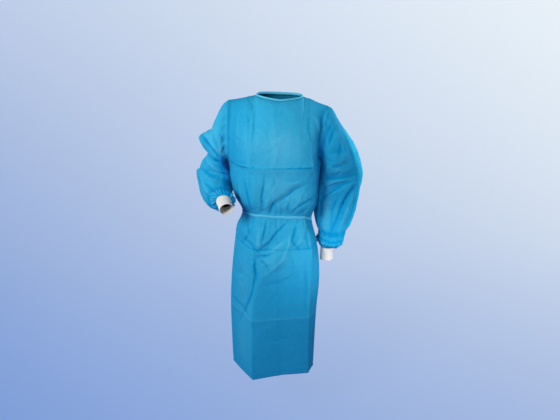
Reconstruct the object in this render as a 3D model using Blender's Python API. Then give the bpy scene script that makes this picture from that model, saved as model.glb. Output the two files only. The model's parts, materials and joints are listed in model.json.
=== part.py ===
"""Visitor gown in its worn form: one front panel, two back panels that lap at the back, two long
sleeves with knitted cuffs, a bound neckline with its tie, and a narrow waist belt with its tie.

Every piece is a thin cloth wall. The panels meet along side, shoulder and armhole seams, and they
all come from one surface: the sections below give its measures at each height, and the stations
around it are the four pressed length creases, the centre lines and the two side seams.

Metres, +Z up, the wearer faces -Y. Left and right are the wearer's, so the right side is at -X.
The origin is the centre of the neck base, where the wearer carries the gown.
"""

from collections import namedtuple

import bmesh
import bpy
import numpy as np
from mathutils import Vector

# Driving sizes
WALL = 0.0015          # cloth of the panels, sleeves, binding and belt
CUFF_WALL = 0.0020     # knitted rib
SEAM_GAP = 0.0003      # between two sewn pieces
HEM = -1.190           # height of the hem
ARMPIT = -0.245        # height where the side seams meet the armholes
WAIST = -0.460         # height of the belt, before its tilt
BELT_WIDTH = 0.010
BELT_SEAT = 0.008      # half height of the flat valley that the belt lies in
BINDING_HEIGHT = 0.008
BINDING_LEAN = 2.0     # how much the binding leans in, by its distance from the centre
LAP_LIFT = 0.0042      # the upper back panel lies this far outside the lower one
TIE_WIDTH = 0.009
CLEAR = 0.0004         # what lies on a panel is this far off it
NECK_RISE = 1.6        # from this row up the lap also moves backwards, for the two bindings
SEAM_CALM = 0.5        # no fold within this many stations of a seam, nor above the next row
TOP_CALM = 1.8
FOLD_TAPER = 0.12      # the folds fade at their ends
HOLE_SPREAD = 1.6      # how quickly an armhole's curve fades into the panels

# Stations around the body, counted from the right side seam across the front
SIDE_RIGHT, FRONT, SIDE_LEFT, BACK, ROUND = 0, 2, 4, 6, 8
LAP_REACH = 3 / 6      # how far a back panel passes the centre back, in stations
SIDE_COLUMNS, MIDDLE_COLUMNS = 5, 6
NECK_STATION = 2 / 6   # from a length crease to the neck point, in stations
NECK_COLUMN = SIDE_COLUMNS + 2
ROW_COUNTS = (4, 5, 3, 1, 4)  # hem to low crease, hip crease, under the belt, belt, armpits
ARMHOLE_STEPS = 9      # rows from the armpits to the shoulders
ARMPIT_ROW = sum(ROW_COUNTS)
BELT_ROW = sum(ROW_COUNTS[:3])
LOW_CREASE, HIP_CREASE = -0.892, -0.581

# Measures of the body at each height. right, left: side seams; crease_r, mid, crease_l: the front's
# length creases and centre; *_y: depth there (front is negative); back: depth of the centre back;
# flat: 0 for a round section, 1 for flat faces between sharp creases.
Section = namedtuple("Section", "z right right_y crease_r crease_r_y mid mid_y crease_l crease_l_y"
                                " left left_y back flat")
SECTIONS = [
    Section(-1.190, -0.212, -0.030, -0.117, -0.170, 0.004, -0.136, 0.124, -0.122, 0.148, -0.068, 0.160, 0.85),
    Section(-1.040, -0.214, -0.025, -0.116, -0.168, 0.002, -0.144, 0.122, -0.131, 0.151, -0.068, 0.160, 0.80),
    Section(-0.892, -0.214, -0.020, -0.114, -0.166, 0.000, -0.154, 0.120, -0.141, 0.156, -0.063, 0.160, 0.80),
    Section(-0.740, -0.205, -0.015, -0.112, -0.154, -0.003, -0.148, 0.124, -0.136, 0.165, -0.055, 0.156, 0.55),
    Section(-0.581, -0.186, -0.010, -0.106, -0.138, -0.006, -0.139, 0.124, -0.126, 0.150, -0.040, 0.143, 0.45),
    Section(-0.520, -0.177, -0.005, -0.110, -0.121, -0.006, -0.126, 0.112, -0.112, 0.137, -0.025, 0.122, 0.25),
    Section(-0.468, -0.154, 0.000, -0.100, -0.097, -0.008, -0.110, 0.094, -0.097, 0.129, -0.012, 0.094, 0.05),
    Section(-0.452, -0.154, 0.000, -0.100, -0.097, -0.008, -0.110, 0.094, -0.097, 0.129, -0.012, 0.094, 0.05),
    Section(-0.405, -0.180, 0.000, -0.112, -0.118, -0.010, -0.127, 0.108, -0.115, 0.150, -0.008, 0.112, 0.20),
    Section(-0.330, -0.197, 0.000, -0.116, -0.128, -0.012, -0.137, 0.118, -0.126, 0.158, 0.000, 0.124, 0.30),
    Section(-0.245, -0.201, 0.000, -0.115, -0.128, -0.014, -0.138, 0.120, -0.126, 0.163, 0.008, 0.122, 0.30),
]
BACK_CREASE = 0.90     # depth of the back at its length creases, against the centre back
# Height of the belt at each station, from the right side seam across the front
BELT_HEIGHTS = [-0.466, -0.449, -0.452, -0.459, -0.497, -0.494, -0.484, -0.473]
BELT_TILT_REACH = 0.120  # the rows of cloth follow the belt's tilt this far above and below it

# Shoulders, neckline and armholes
Side = namedtuple("Side", "corner_x corner_z crease_x neck_x neck_z")
RIGHT = Side(-0.197, -0.017, -0.119, -0.091, 0.003)
LEFT = Side(0.188, -0.041, 0.114, 0.087, -0.004)
NECK_FRONT = (0.000, -0.060, -0.009)
NECK_BACK = (-0.002, 0.056, -0.004)
Armhole = namedtuple("Armhole", "front back inward")
ARMHOLE_RIGHT = Armhole(0.066, 0.082, 0.000)
ARMHOLE_LEFT = Armhole(0.068, 0.080, 0.022)

# The largest folds, on the front (side -1) or the back (side +1): a line from (x0, z0) to (x1, z1)
# along which the cloth stands out (height above 0) or sinks in, over the given half width.
Fold = namedtuple("Fold", "side x0 z0 x1 z1 width height")
FOLDS = [
    Fold(-1, -0.030, -0.405, 0.110, -0.305, 0.020, -0.009),
    Fold(-1, 0.045, -0.430, 0.145, -0.355, 0.020, 0.008),
    Fold(-1, -0.070, -0.420, -0.058, -0.290, 0.020, -0.005),
    Fold(-1, 0.040, -0.510, -0.080, -0.600, 0.022, -0.008),
    Fold(-1, 0.037, -0.540, -0.060, -0.690, 0.024, 0.008),
    Fold(-1, 0.082, -0.490, 0.084, -0.570, 0.018, 0.009),
    Fold(-1, -0.060, -0.490, -0.085, -0.590, 0.018, 0.006),
    Fold(-1, -0.098, -0.660, -0.178, -0.950, 0.022, -0.009),
    Fold(-1, -0.115, -0.245, 0.125, -0.262, 0.014, 0.004),
    Fold(1, -0.060, -0.430, -0.110, -0.310, 0.024, -0.008),
    Fold(1, 0.070, -0.430, 0.105, -0.300, 0.024, -0.008),
    Fold(1, -0.040, -0.520, -0.090, -0.660, 0.026, 0.009),
    Fold(1, 0.060, -0.530, 0.095, -0.700, 0.026, 0.009),
    Fold(1, -0.120, -0.620, -0.140, -0.900, 0.026, -0.008),
]

# Sleeves: each ring runs from the inner side of the arm to its outer side; deep is half its size
# across that, and face turns that direction from the front (0) up (90 degrees), as the elbow bends.
Ring = namedtuple("Ring", "inner_x inner_y inner_z outer_x outer_y outer_z deep face")
SLEEVE_LEFT = [
    Ring(0.163, 0.008, -0.245, 0.188, 0.000, -0.041, 0.074, 0),
    Ring(0.176, 0.010, -0.255, 0.230, 0.004, -0.083, 0.086, 0),
    Ring(0.170, 0.024, -0.286, 0.276, 0.012, -0.160, 0.090, 0),
    Ring(0.165, 0.034, -0.328, 0.314, 0.022, -0.238, 0.090, 0),
    Ring(0.158, 0.044, -0.372, 0.333, 0.030, -0.312, 0.087, 0),
    Ring(0.151, 0.044, -0.420, 0.330, 0.030, -0.382, 0.083, 0),
    Ring(0.145, 0.034, -0.472, 0.315, 0.022, -0.452, 0.078, 0),
    Ring(0.149, 0.014, -0.522, 0.293, 0.010, -0.518, 0.070, 0),
    Ring(0.158, -0.012, -0.563, 0.272, -0.008, -0.570, 0.061, 0),
    Ring(0.160, -0.024, -0.594, 0.254, -0.018, -0.608, 0.048, 0),
    Ring(0.162, -0.029, -0.606, 0.238, -0.024, -0.625, 0.036, 0),
    Ring(0.169, -0.031, -0.610, 0.220, -0.027, -0.616, 0.023, 0),
]
SLEEVE_RIGHT = [
    Ring(-0.201, 0.000, -0.245, -0.197, 0.000, -0.017, 0.074, 0),
    Ring(-0.216, 0.006, -0.253, -0.242, 0.004, -0.056, 0.086, -4),
    Ring(-0.219, 0.022, -0.268, -0.270, 0.018, -0.106, 0.088, -10),
    Ring(-0.213, 0.046, -0.279, -0.298, 0.038, -0.158, 0.086, -12),
    Ring(-0.205, 0.068, -0.294, -0.290, 0.052, -0.206, 0.082, -6),
    Ring(-0.198, 0.086, -0.318, -0.296, 0.072, -0.258, 0.084, 4),
    Ring(-0.194, 0.090, -0.362, -0.332, 0.080, -0.318, 0.088, 28),
    Ring(-0.196, 0.060, -0.400, -0.330, 0.046, -0.370, 0.080, 54),
    Ring(-0.198, 0.004, -0.402, -0.306, -0.012, -0.394, 0.065, 74),
    Ring(-0.186, -0.058, -0.388, -0.280, -0.070, -0.401, 0.053, 79),
    Ring(-0.180, -0.100, -0.384, -0.260, -0.108, -0.398, 0.042, 80),
    Ring(-0.188, -0.122, -0.386, -0.244, -0.124, -0.388, 0.026, 78),
]
FULLNESS = 0.85        # below 1 the rings are fuller than ellipses
GATHERED = 0.75        # from here to the cuff they turn into ellipses
ARMHOLE_BLEND = 0.22   # up to here the armhole's loop still shows in the rings
SLEEVE_RINGS = 15      # rings from the armhole to the cuff
CUFF_RINGS = 3

# Folds of the sleeves: along 0 (armhole) to 1 (cuff), around in degrees from the inner side over
# the front (90) and the outer side (180), with the half reach both ways and the height.
Pucker = namedtuple("Pucker", "along around reach_along reach_around height")
PUCKERS_RIGHT = [
    Pucker(0.27, 172, 0.035, 26, 0.016),
    Pucker(0.38, 165, 0.030, 30, -0.006),
    Pucker(0.54, 190, 0.040, 30, 0.008),
    Pucker(0.62, 240, 0.060, 36, 0.006),
]
PUCKERS_LEFT = [
    Pucker(0.24, 120, 0.030, 50, -0.006),
    Pucker(0.40, 80, 0.040, 50, 0.006),
    Pucker(0.52, 100, 0.035, 60, -0.008),
    Pucker(0.70, 110, 0.080, 22, 0.007),
    Pucker(0.78, 150, 0.100, 20, -0.006),
]

# Cuffs: where the open end is, and how far it is drawn in
Cuff = namedtuple("Cuff", "x y z across deep")  # across and deep: half sizes
CUFF_LEFT = Cuff(0.193, -0.035, -0.674, 0.0255, 0.0215)
CUFF_RIGHT = Cuff(-0.201, -0.174, -0.399, 0.0270, 0.0240)

# Ties: knots on the upper back panel's centre column, with two free ends below each
KNOT = (0.017, 0.009, 0.013)   # width, thickness and height of a knot
BACK_COLUMN = SIDE_COLUMNS + MIDDLE_COLUMNS
WAIST_KNOT_ROW = BELT_ROW + 0.5
NECK_KNOT_ROW = ARMPIT_ROW + ARMHOLE_STEPS - 0.5
TIE_CLEAR = 0.0008     # the free ends lie this far off the cloth
TIE_START = 0.35       # they start this share of their spread off the centre
NEAR_ROW = 0.2         # no point of theirs is nearer to an end than this, in half rows
TieEnd = namedtuple("TieEnd", "name knot_row spread length")  # spread: columns off the centre
TIE_ENDS = [
    TieEnd("waist_tie_end_right", WAIST_KNOT_ROW, 0.7, 0.140),
    TieEnd("waist_tie_end_left", WAIST_KNOT_ROW, -1.1, 0.125),
    TieEnd("neck_tie_end_right", NECK_KNOT_ROW, 0.9, 0.150),
    TieEnd("neck_tie_end_left", NECK_KNOT_ROW, -0.9, 0.130),
]

# Cloths: colour and roughness
Cloth = namedtuple("Cloth", "name colour roughness")
BLUE = Cloth("nonwoven_blue", (0.045, 0.375, 0.680), 0.75)
PALE = Cloth("tape_pale_blue", (0.110, 0.560, 0.780), 0.70)
WHITE = Cloth("rib_knit_white", (0.800, 0.790, 0.760), 0.90)


def clear_scene():
    for existing in list(bpy.data.objects):
        bpy.data.objects.remove(existing)


def material(piece, cloth):
    made = bpy.data.materials.new(f"{piece}_{cloth.name}")
    made.use_nodes = True
    shader = made.node_tree.nodes["Principled BSDF"]
    shader.inputs["Base Color"].default_value = (*cloth.colour, 1)
    shader.inputs["Roughness"].default_value = cloth.roughness
    shader.inputs["Metallic"].default_value = 0
    return made


def smooth(low, high, value):
    t = np.clip((value - low) / (high - low), 0, 1)
    return t * t * (3 - 2 * t)


def hermite(t, h, start, end, leaving, arriving):
    """A cubic from start to end over the length h, with the slopes it leaves and arrives with."""
    return ((2 * t**3 - 3 * t**2 + 1) * start + (t**3 - 2 * t**2 + t) * h * leaving
            + (3 * t**2 - 2 * t**3) * end + (t**3 - t**2) * h * arriving)


def curve(knots, values, at):
    """A smooth curve through values, one row for each knot, read at the places in at."""
    knots, values = np.asarray(knots, float), np.asarray(values, float)
    at = np.asarray(at, float)
    gap = np.diff(knots)[:, None]
    slope = np.diff(values, axis=0) / gap
    inside = (slope[:-1] * gap[1:] + slope[1:] * gap[:-1]) / (gap[:-1] + gap[1:])
    tangent = np.vstack([slope[:1], inside, slope[-1:]])
    i = np.clip(np.searchsorted(knots, at, side="right") - 1, 0, len(knots) - 2)
    h = gap[i]
    t = (at - knots[i])[..., None] / h
    return hermite(t, h, values[i], values[i + 1], tangent[i], tangent[i + 1])


def belt_height(station):
    """Height of the belt at each station."""
    heights = BELT_HEIGHTS[-2:] + BELT_HEIGHTS + BELT_HEIGHTS[:3]
    return curve(range(-2, ROUND + 3), np.array(heights)[:, None], station % ROUND)[..., 0]


def section_corners(z):
    """The eight station points of the section at each height, and how flat its faces are."""
    table = np.array(SECTIONS)
    s = dict(zip(Section._fields[1:], np.moveaxis(curve(table[:, 0], table[:, 1:], z), -1, 0)))
    crease, middle = s["back"] * BACK_CREASE, (s["right"] + s["left"]) / 2
    points = [(s["right"], s["right_y"]), (s["crease_r"], s["crease_r_y"]), (s["mid"], s["mid_y"]),
              (s["crease_l"], s["crease_l_y"]), (s["left"], s["left_y"]), (s["crease_l"], crease),
              (middle, s["back"]), (s["crease_r"], crease)]
    return np.stack([np.stack(point, -1) for point in points]), s["flat"][..., None]


def body_point(station, z):
    """Points of the body below the armpits; the rows near the belt follow its tilt."""
    corners, flat = section_corners(z)
    first = np.floor(station % ROUND).astype(int)
    before, start, end, after = (
        np.take_along_axis(corners, ((first + k) % ROUND)[None, ..., None], 0)[0] for k in (-1, 0, 1, 2))
    reach = [np.linalg.norm(b - a, axis=-1, keepdims=True)
             for a, b in ((before, start), (start, end), (end, after))]
    slope = [(start - before) / reach[0], (end - start) / reach[1], (after - end) / reach[2]]
    leaving = (slope[0] * reach[1] + slope[1] * reach[0]) / (reach[0] + reach[1])
    arriving = (slope[1] * reach[2] + slope[2] * reach[1]) / (reach[1] + reach[2])
    t = (station % 1)[..., None]
    rounded = hermite(t, reach[1], start, end, leaving, arriving)
    plan = rounded + flat * (start + t * (end - start) - rounded)
    near = np.maximum(0, 1 - ((z - WAIST) / BELT_TILT_REACH)**2)**2
    return np.dstack([plan, z + (belt_height(station) - WAIST) * near])


def top_edge(station, front):
    """The upper edge of the panels: shoulder seam, then neckline."""
    on_right = (station < FRONT) | (station > BACK)
    side = Side(*(np.where(on_right, right, left) for right, left in zip(RIGHT, LEFT)))
    step = np.minimum(np.minimum(station, ROUND - station), abs(station - SIDE_LEFT))
    seam_x = np.interp(step, [0, 1, 1 + NECK_STATION], [0, 1, 2])
    x = np.where(seam_x < 1, side.corner_x + (side.crease_x - side.corner_x) * seam_x,
                 side.crease_x + (side.neck_x - side.crease_x) * (seam_x - 1))
    z = side.corner_z + (side.neck_z - side.corner_z) * (x - side.corner_x) / (side.neck_x - side.corner_x)
    angle = np.pi / 2 * np.clip((step - 1 - NECK_STATION) / (1 - NECK_STATION), 0, 1)
    middle = NECK_FRONT if front else NECK_BACK
    around = step > 1 + NECK_STATION
    x = np.where(around, middle[0] + (side.neck_x - middle[0]) * np.cos(angle), x)
    z = np.where(around, middle[2] + (side.neck_z - middle[2]) * np.cos(angle), z)
    return np.dstack([x, middle[1] * np.sin(angle), z])


def top_point(station, share, front):
    """Points of the body above the armpits; share is 0 at the armpits and 1 at the upper edge."""
    low, high = body_point(station, np.full_like(station, ARMPIT)), top_edge(station, front)
    rise = (1 - np.cos(np.pi * share)) / 2
    bulge = np.sqrt(np.maximum(0, 1 - rise**2))
    x, z = (low[..., k] + (high[..., k] - low[..., k]) * rise for k in (0, 2))
    y = high[..., 1] + (low[..., 1] - high[..., 1]) * bulge
    from_right, from_left = np.minimum(station, ROUND - station), abs(station - SIDE_LEFT)
    on_right = from_right < from_left
    near = np.clip(1 - np.minimum(from_right, from_left), 0, 1)
    hole = Armhole(*(np.where(on_right, right, left) for right, left in zip(ARMHOLE_RIGHT, ARMHOLE_LEFT)))
    edge = np.sin(np.pi * share) * near**HOLE_SPREAD
    depth = -hole.front if front else hole.back
    y += depth * edge - low[..., 1] * (bulge - 1 + rise) * near**3
    inward = hole.inward * edge * (1 - share) * front
    return np.dstack([x - inward, y, z])


def smooth_point(station, row, front):
    """Points of the body without folds; row runs from 0 at the hem over 1 at the armpits to 2."""
    below = body_point(station, HEM + (ARMPIT - HEM) * np.minimum(row, 1))
    above = top_point(np.clip(station, 0, ROUND), np.maximum(row - 1, 0), front)
    return np.where((row <= 1)[..., None], below, above)


def fold_height(points):
    """How far the folds move the cloth out at each point."""
    total = np.zeros(points.shape[:-1])
    plan = points[..., [0, 2]]
    for fold in FOLDS:
        start, run = np.array([fold.x0, fold.z0]), np.array([fold.x1 - fold.x0, fold.z1 - fold.z0])
        along = np.clip((plan - start) @ run / (run @ run), 0, 1)
        off = np.linalg.norm(plan - start - run * along[..., None], axis=-1)
        taper = np.sin(np.pi * (FOLD_TAPER + (1 - 2 * FOLD_TAPER) * along))
        total += fold.height * np.exp(-(off / fold.width)**2) * taper * (fold.side * points[..., 1] > 0)
    return total


def cloth_point(station, row, front, out):
    """Points of the body with its folds, moved out by the given distance."""
    step = 0.01
    here = smooth_point(station, row, front)
    across = (smooth_point(np.minimum(station + step, station.max()), row, front)
              - smooth_point(np.maximum(station - step, station.min()), row, front))
    up = (smooth_point(station, np.minimum(row + step, 2), front)
          - smooth_point(station, np.maximum(row - step, 0), front))
    normal = unit(np.cross(across, up))
    seam = np.minimum(np.minimum(abs(station), abs(station - SIDE_LEFT)), abs(station - ROUND))
    belt = abs(here[..., 2] - belt_height(station))
    calm = smooth(0, SEAM_CALM, seam) * smooth(2, TOP_CALM, row) * smooth(BELT_SEAT, 3 * BELT_SEAT, belt)
    return here + normal * (fold_height(here) * calm + out)[..., None]


def row_places():
    """The rows of the panels, closer together at the belt."""
    heights = [HEM, LOW_CREASE, HIP_CREASE, WAIST - BELT_SEAT, WAIST + BELT_SEAT, ARMPIT]
    below = [np.linspace(low, high, n, endpoint=False)
             for low, high, n in zip(heights, heights[1:], ROW_COUNTS)]
    rows = (np.concatenate(below) - HEM) / (ARMPIT - HEM)
    return np.concatenate([rows, np.linspace(1, 2, ARMHOLE_STEPS + 1)])


def stations_between(first, last):
    """The columns of a panel from one station to another."""
    columns = [SIDE_COLUMNS if start in (0, 3, 4, 7) else MIDDLE_COLUMNS for start in range(ROUND)]
    places = [start + i / n for start, n in enumerate(columns) for i in range(n)] + [ROUND]
    return np.array([place for place in places if first - 1e-6 < place < last + 1e-6])


def panel_grid(first, last, front=False, lift=0.0):
    """The points of a panel; a lifted one rises over the other towards the centre back."""
    station, row = np.meshgrid(stations_between(first, last), row_places())
    rise = lift * smooth(SIDE_LEFT + 1 + NECK_STATION, BACK - LAP_REACH, station)
    backwards = rise * smooth(NECK_RISE, 2, row)
    return cloth_point(station, row, front, rise) + backwards[..., None] * [0, 1, 0]


def sleeve_grid(rings, puckers, loop, turn):
    """Rings of a sleeve: the first is the armhole loop, and they grow into the table's rings."""
    places = np.linspace(0, 1, SLEEVE_RINGS + 1)
    table = curve(range(len(rings)), np.array(rings), places * (len(rings) - 1))
    inner, outer, deep, face = table[:, :3], table[:, 3:6], table[:, 6], np.radians(table[:, 7])
    reach = (outer - inner) / 2
    towards = np.stack([np.zeros_like(face), -np.cos(face), np.sin(face)], -1)
    towards -= reach * ((towards * reach).sum(-1) / (reach * reach).sum(-1))[:, None]
    towards = unit(towards)
    around = turn * 2 * np.pi * np.arange(len(loop)) / len(loop)
    along, around = np.meshgrid(places, around, indexing="ij")
    full = FULLNESS + (1 - FULLNESS) * smooth(GATHERED, 1, along)
    across, over = (np.sign(part) * abs(part)**full for part in (-np.cos(around), np.sin(around)))
    spoke = (reach[:, None] * across[..., None] + (towards * deep[:, None])[:, None] * over[..., None])
    height = np.zeros_like(around)
    for p in puckers:
        apart = (np.degrees(around) - p.around + 180) % 360 - 180
        height += p.height * np.exp(-((along - p.along) / p.reach_along)**2 - (apart / p.reach_around)**2)
    points = ((inner + outer) / 2)[:, None] + spoke * (1 + height / np.linalg.norm(spoke, axis=-1))[..., None]
    keep = (1 - smooth(0, ARMHOLE_BLEND, places))[:, None, None]
    moved = loop + (inner - inner[0])[:, None]
    return points + (moved - points) * keep


def cuff_grid(loop, cuff):
    """Rings of a cuff, from the sleeve's last ring to the open end."""
    centre = loop.mean(axis=0)
    end = np.array([cuff.x, cuff.y, cuff.z])
    axis = (end - centre) / np.linalg.norm(end - centre)
    spoke = loop - centre
    level = spoke - axis * (spoke @ axis)[:, None]
    slim = (cuff.across + cuff.deep) / 2 / np.linalg.norm(level, axis=1).mean()
    return np.array([centre + (end - centre) * t + spoke * (1 - t) + level * slim * t
                     for t in np.linspace(0, 1, CUFF_RINGS + 1)])


def binding_grid(front, under, over):
    """A strip standing on the neckline, from the lower back panel round to the upper one."""
    line = np.vstack([under[-1, :-NECK_COLUMN], front[-1, NECK_COLUMN + 1:-NECK_COLUMN],
                      over[-1, NECK_COLUMN + 1:]])
    upright = unit(np.array([0, 0, 1]) - line * [1, 1, 0] * BINDING_LEAN)
    return np.array([line, line + upright * BINDING_HEIGHT])


def belt_grid(front, under, over, normals):
    """A band round the waist, moved out from the outermost cloth at the belt's rows."""
    passed = round(2 * LAP_REACH * MIDDLE_COLUMNS) + 1
    places = [(front, "front_panel", slice(0, -1)), (over, "back_left_panel", slice(0, None)),
              (under, "back_right_panel", slice(passed, -1))]
    low, high = (np.vstack([(grid + normals[name] * (CLEAR + WALL))[row, columns]
                            for grid, name, columns in places]) for row in (BELT_ROW, BELT_ROW + 1))
    half = BELT_WIDTH / (4 * BELT_SEAT)
    return np.array([low + (high - low) * (0.5 - half), low + (high - low) * (0.5 + half)])


def strip_grid(panel, normal, end):
    """A tie end that lies on the panel below its knot, with a point at each half row of its grid."""
    rows, middle = np.arange(len(panel)), panel[:, BACK_COLUMN]
    passed = np.concatenate([[0], np.linalg.norm(np.diff(middle, axis=0), axis=-1).cumsum()])
    upper = np.interp(end.knot_row, rows, passed) - KNOT[2] / 2 - SEAM_GAP
    finish, start = np.interp([upper - end.length, upper], passed, rows)
    halves = np.arange(np.ceil(finish * 2 + NEAR_ROW), start * 2 - NEAR_ROW) / 2
    raised = panel + normal * (TIE_CLEAR + WALL)
    centre, across = [], []
    for row in [finish, *halves, start]:
        column = BACK_COLUMN + end.spread * (TIE_START + (start - row) / (start - finish))
        i, j = int(row), int(column)
        line = raised[i] + (raised[i + 1] - raised[i]) * (row - i)
        way = line[j + 1] - line[j]
        centre.append(line[j] + way * (column - j))
        across.append(way / np.linalg.norm(way) * TIE_WIDTH / 2)
    centre, across = np.array(centre), np.array(across)
    return np.array([centre - across, centre + across]).swapaxes(0, 1)


def unit(vectors):
    return vectors / np.linalg.norm(vectors, axis=-1, keepdims=True)


def own_normals(grid, closed):
    """Normals of one grid at its points."""
    around = np.concatenate([grid, grid[:, :1]], axis=1) if closed else grid
    face = np.cross(around[1:, 1:] - around[:-1, :-1], around[1:, :-1] - around[:-1, 1:])
    total = np.zeros_like(around)
    for i, j in ((0, 0), (0, 1), (1, 0), (1, 1)):
        total[i:i + len(face), j:j + face.shape[1]] += face
    if closed:
        total[:, 0] += total[:, -1]
        total = total[:, :-1]
    return unit(total)


def shared_normals(grids):
    """Normals at the points of every piece; pieces that meet at a seam share them there."""
    own = {name: own_normals(grid, closed) for name, (grid, closed) in grids.items()}
    total = {}
    keys = {name: [tuple(p) for p in np.round(grid.reshape(-1, 3) * 1e5).astype(int)]
            for name, (grid, closed) in grids.items()}
    for name, normals in own.items():
        for key, normal in zip(keys[name], normals.reshape(-1, 3)):
            total[key] = total.get(key, 0) + normal
    return {name: unit(np.array([total[key] for key in keys[name]])).reshape(own[name].shape)
            for name in own}


def drawn_back(grid, closed):
    """The same grid with its edges moved in by half a seam's gap, square to each edge."""
    moved = grid.copy()
    edges = [(grid[0], grid[1], moved[0]), (grid[-1], grid[-2], moved[-1])]
    if not closed:
        edges += [(grid[:, 0], grid[:, 1], moved[:, 0]), (grid[:, -1], grid[:, -2], moved[:, -1])]
    for edge, inside, place in edges:
        run = unit(np.roll(edge, -1, 0) - np.roll(edge, 1, 0)) if closed else unit(np.gradient(edge, axis=0))
        way = inside - edge
        place += unit(way - run * (way * run).sum(-1, keepdims=True)) * SEAM_GAP / 2
    return moved


def wall(name, grid, normal, thickness, closed, cloth):
    """A solid cloth wall: the grid is its outer face, and its inner face lies behind that."""
    face = drawn_back(grid, closed)
    mesh = bmesh.new()
    rows, columns = grid.shape[:2]
    inner, outer = ([[mesh.verts.new(p) for p in line] for line in layer]
                    for layer in (face - normal * thickness, face))
    last = columns if closed else columns - 1
    for i in range(rows - 1):
        for j in range(last):
            k = (j + 1) % columns
            mesh.faces.new([outer[i][j], outer[i][k], outer[i + 1][k], outer[i + 1][j]])
            mesh.faces.new([inner[i][j], inner[i + 1][j], inner[i + 1][k], inner[i][k]])
    for j in range(last):
        k = (j + 1) % columns
        mesh.faces.new([inner[0][k], outer[0][k], outer[0][j], inner[0][j]])
        mesh.faces.new([inner[-1][k], inner[-1][j], outer[-1][j], outer[-1][k]])
    if not closed:
        for i in range(rows - 1):
            mesh.faces.new([inner[i + 1][0], inner[i][0], outer[i][0], outer[i + 1][0]])
            mesh.faces.new([inner[i][-1], inner[i + 1][-1], outer[i + 1][-1], outer[i][-1]])
    bmesh.ops.triangulate(mesh, faces=mesh.faces, quad_method="FIXED")
    add_object(name, mesh, cloth)


def knot(name, spot, out):
    """A small rounded block that lies on a panel with its back towards the cloth."""
    thick = KNOT[1]
    mesh = bmesh.new()
    bmesh.ops.create_cube(mesh, size=1)
    bmesh.ops.scale(mesh, vec=KNOT, verts=mesh.verts)
    bmesh.ops.bevel(mesh, geom=mesh.edges, offset=thick / 4, segments=2, profile=0.5, affect="EDGES")
    out = Vector(out).normalized()
    turned = Vector((0, 1, 0)).rotation_difference(out).to_matrix()
    bmesh.ops.rotate(mesh, matrix=turned, verts=mesh.verts)
    bmesh.ops.translate(mesh, vec=Vector(spot) + out * thick / 2, verts=mesh.verts)
    add_object(name, mesh, PALE)


def add_object(name, mesh, cloth):
    data = bpy.data.meshes.new(name)
    mesh.to_mesh(data)
    mesh.free()
    data.materials.append(material(name, cloth))
    bpy.data.collections["visitor_gown"].objects.link(bpy.data.objects.new(name, data))


def build():
    clear_scene()
    collection = bpy.data.collections.new("visitor_gown")
    bpy.context.scene.collection.children.link(collection)
    front = panel_grid(SIDE_RIGHT, SIDE_LEFT, front=True)
    under = panel_grid(BACK - LAP_REACH, ROUND)
    over = panel_grid(SIDE_LEFT, BACK + LAP_REACH, lift=LAP_LIFT)
    up, down = slice(ARMPIT_ROW, None), slice(-2, ARMPIT_ROW, -1)
    right = sleeve_grid(SLEEVE_RIGHT, PUCKERS_RIGHT, np.vstack([front[up, 0], under[down, -1]]), 1)
    left = sleeve_grid(SLEEVE_LEFT, PUCKERS_LEFT, np.vstack([over[up, 0], front[down, -1]]), -1)
    pieces = {
        "front_panel": (front, False), "back_right_panel": (under, False),
        "back_left_panel": (over, False), "sleeve_right": (right, True), "sleeve_left": (left, True),
        "cuff_right": (cuff_grid(right[-1], CUFF_RIGHT), True),
        "cuff_left": (cuff_grid(left[-1], CUFF_LEFT), True),
        "neck_binding": (binding_grid(front, under, over), False),
    }
    normals = shared_normals(pieces)
    for name, (grid, closed) in pieces.items():
        cloth = WHITE if name.startswith("cuff") else PALE if name == "neck_binding" else BLUE
        wall(name, grid, normals[name], CUFF_WALL if cloth is WHITE else WALL, closed, cloth)

    belt = belt_grid(front, under, over, normals)
    belt_normal = own_normals(belt, True)
    wall("waist_belt", belt, belt_normal, WALL, True, PALE)

    out = normals["back_left_panel"]
    middle = BACK_COLUMN + front.shape[1] - 1
    lower = belt_normal[:, middle].mean(axis=0)
    knot("waist_knot", belt[:, middle].mean(axis=0) + lower * CLEAR, lower)
    seat = over[int(NECK_KNOT_ROW):][:2, BACK_COLUMN - 1:BACK_COLUMN + 2]
    upper = np.cross(seat[0, 2] - seat[0, 0], seat[1, 1] - seat[0, 1])
    knot("neck_knot", seat[:, 1].mean(axis=0) + unit(upper) * CLEAR, upper)
    for end in TIE_ENDS:
        grid = strip_grid(over, out, end)
        wall(end.name, grid, own_normals(grid, False), WALL, False, PALE)


build()
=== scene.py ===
# %% [markdown]
# # A visitor gown in its worn form
# The real gown is cut from spunbond polypropylene, a thin felt of bonded threads, and sewn from
# a front, two backs that lap, two sleeves, rib-knit cuffs and narrow tapes. It came folded flat,
# so pressed creases run round it and down it. The solids give its form. Here every piece
# becomes a thin sheet on its solid's form, with its folds, gathers, seams and finish.

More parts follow.
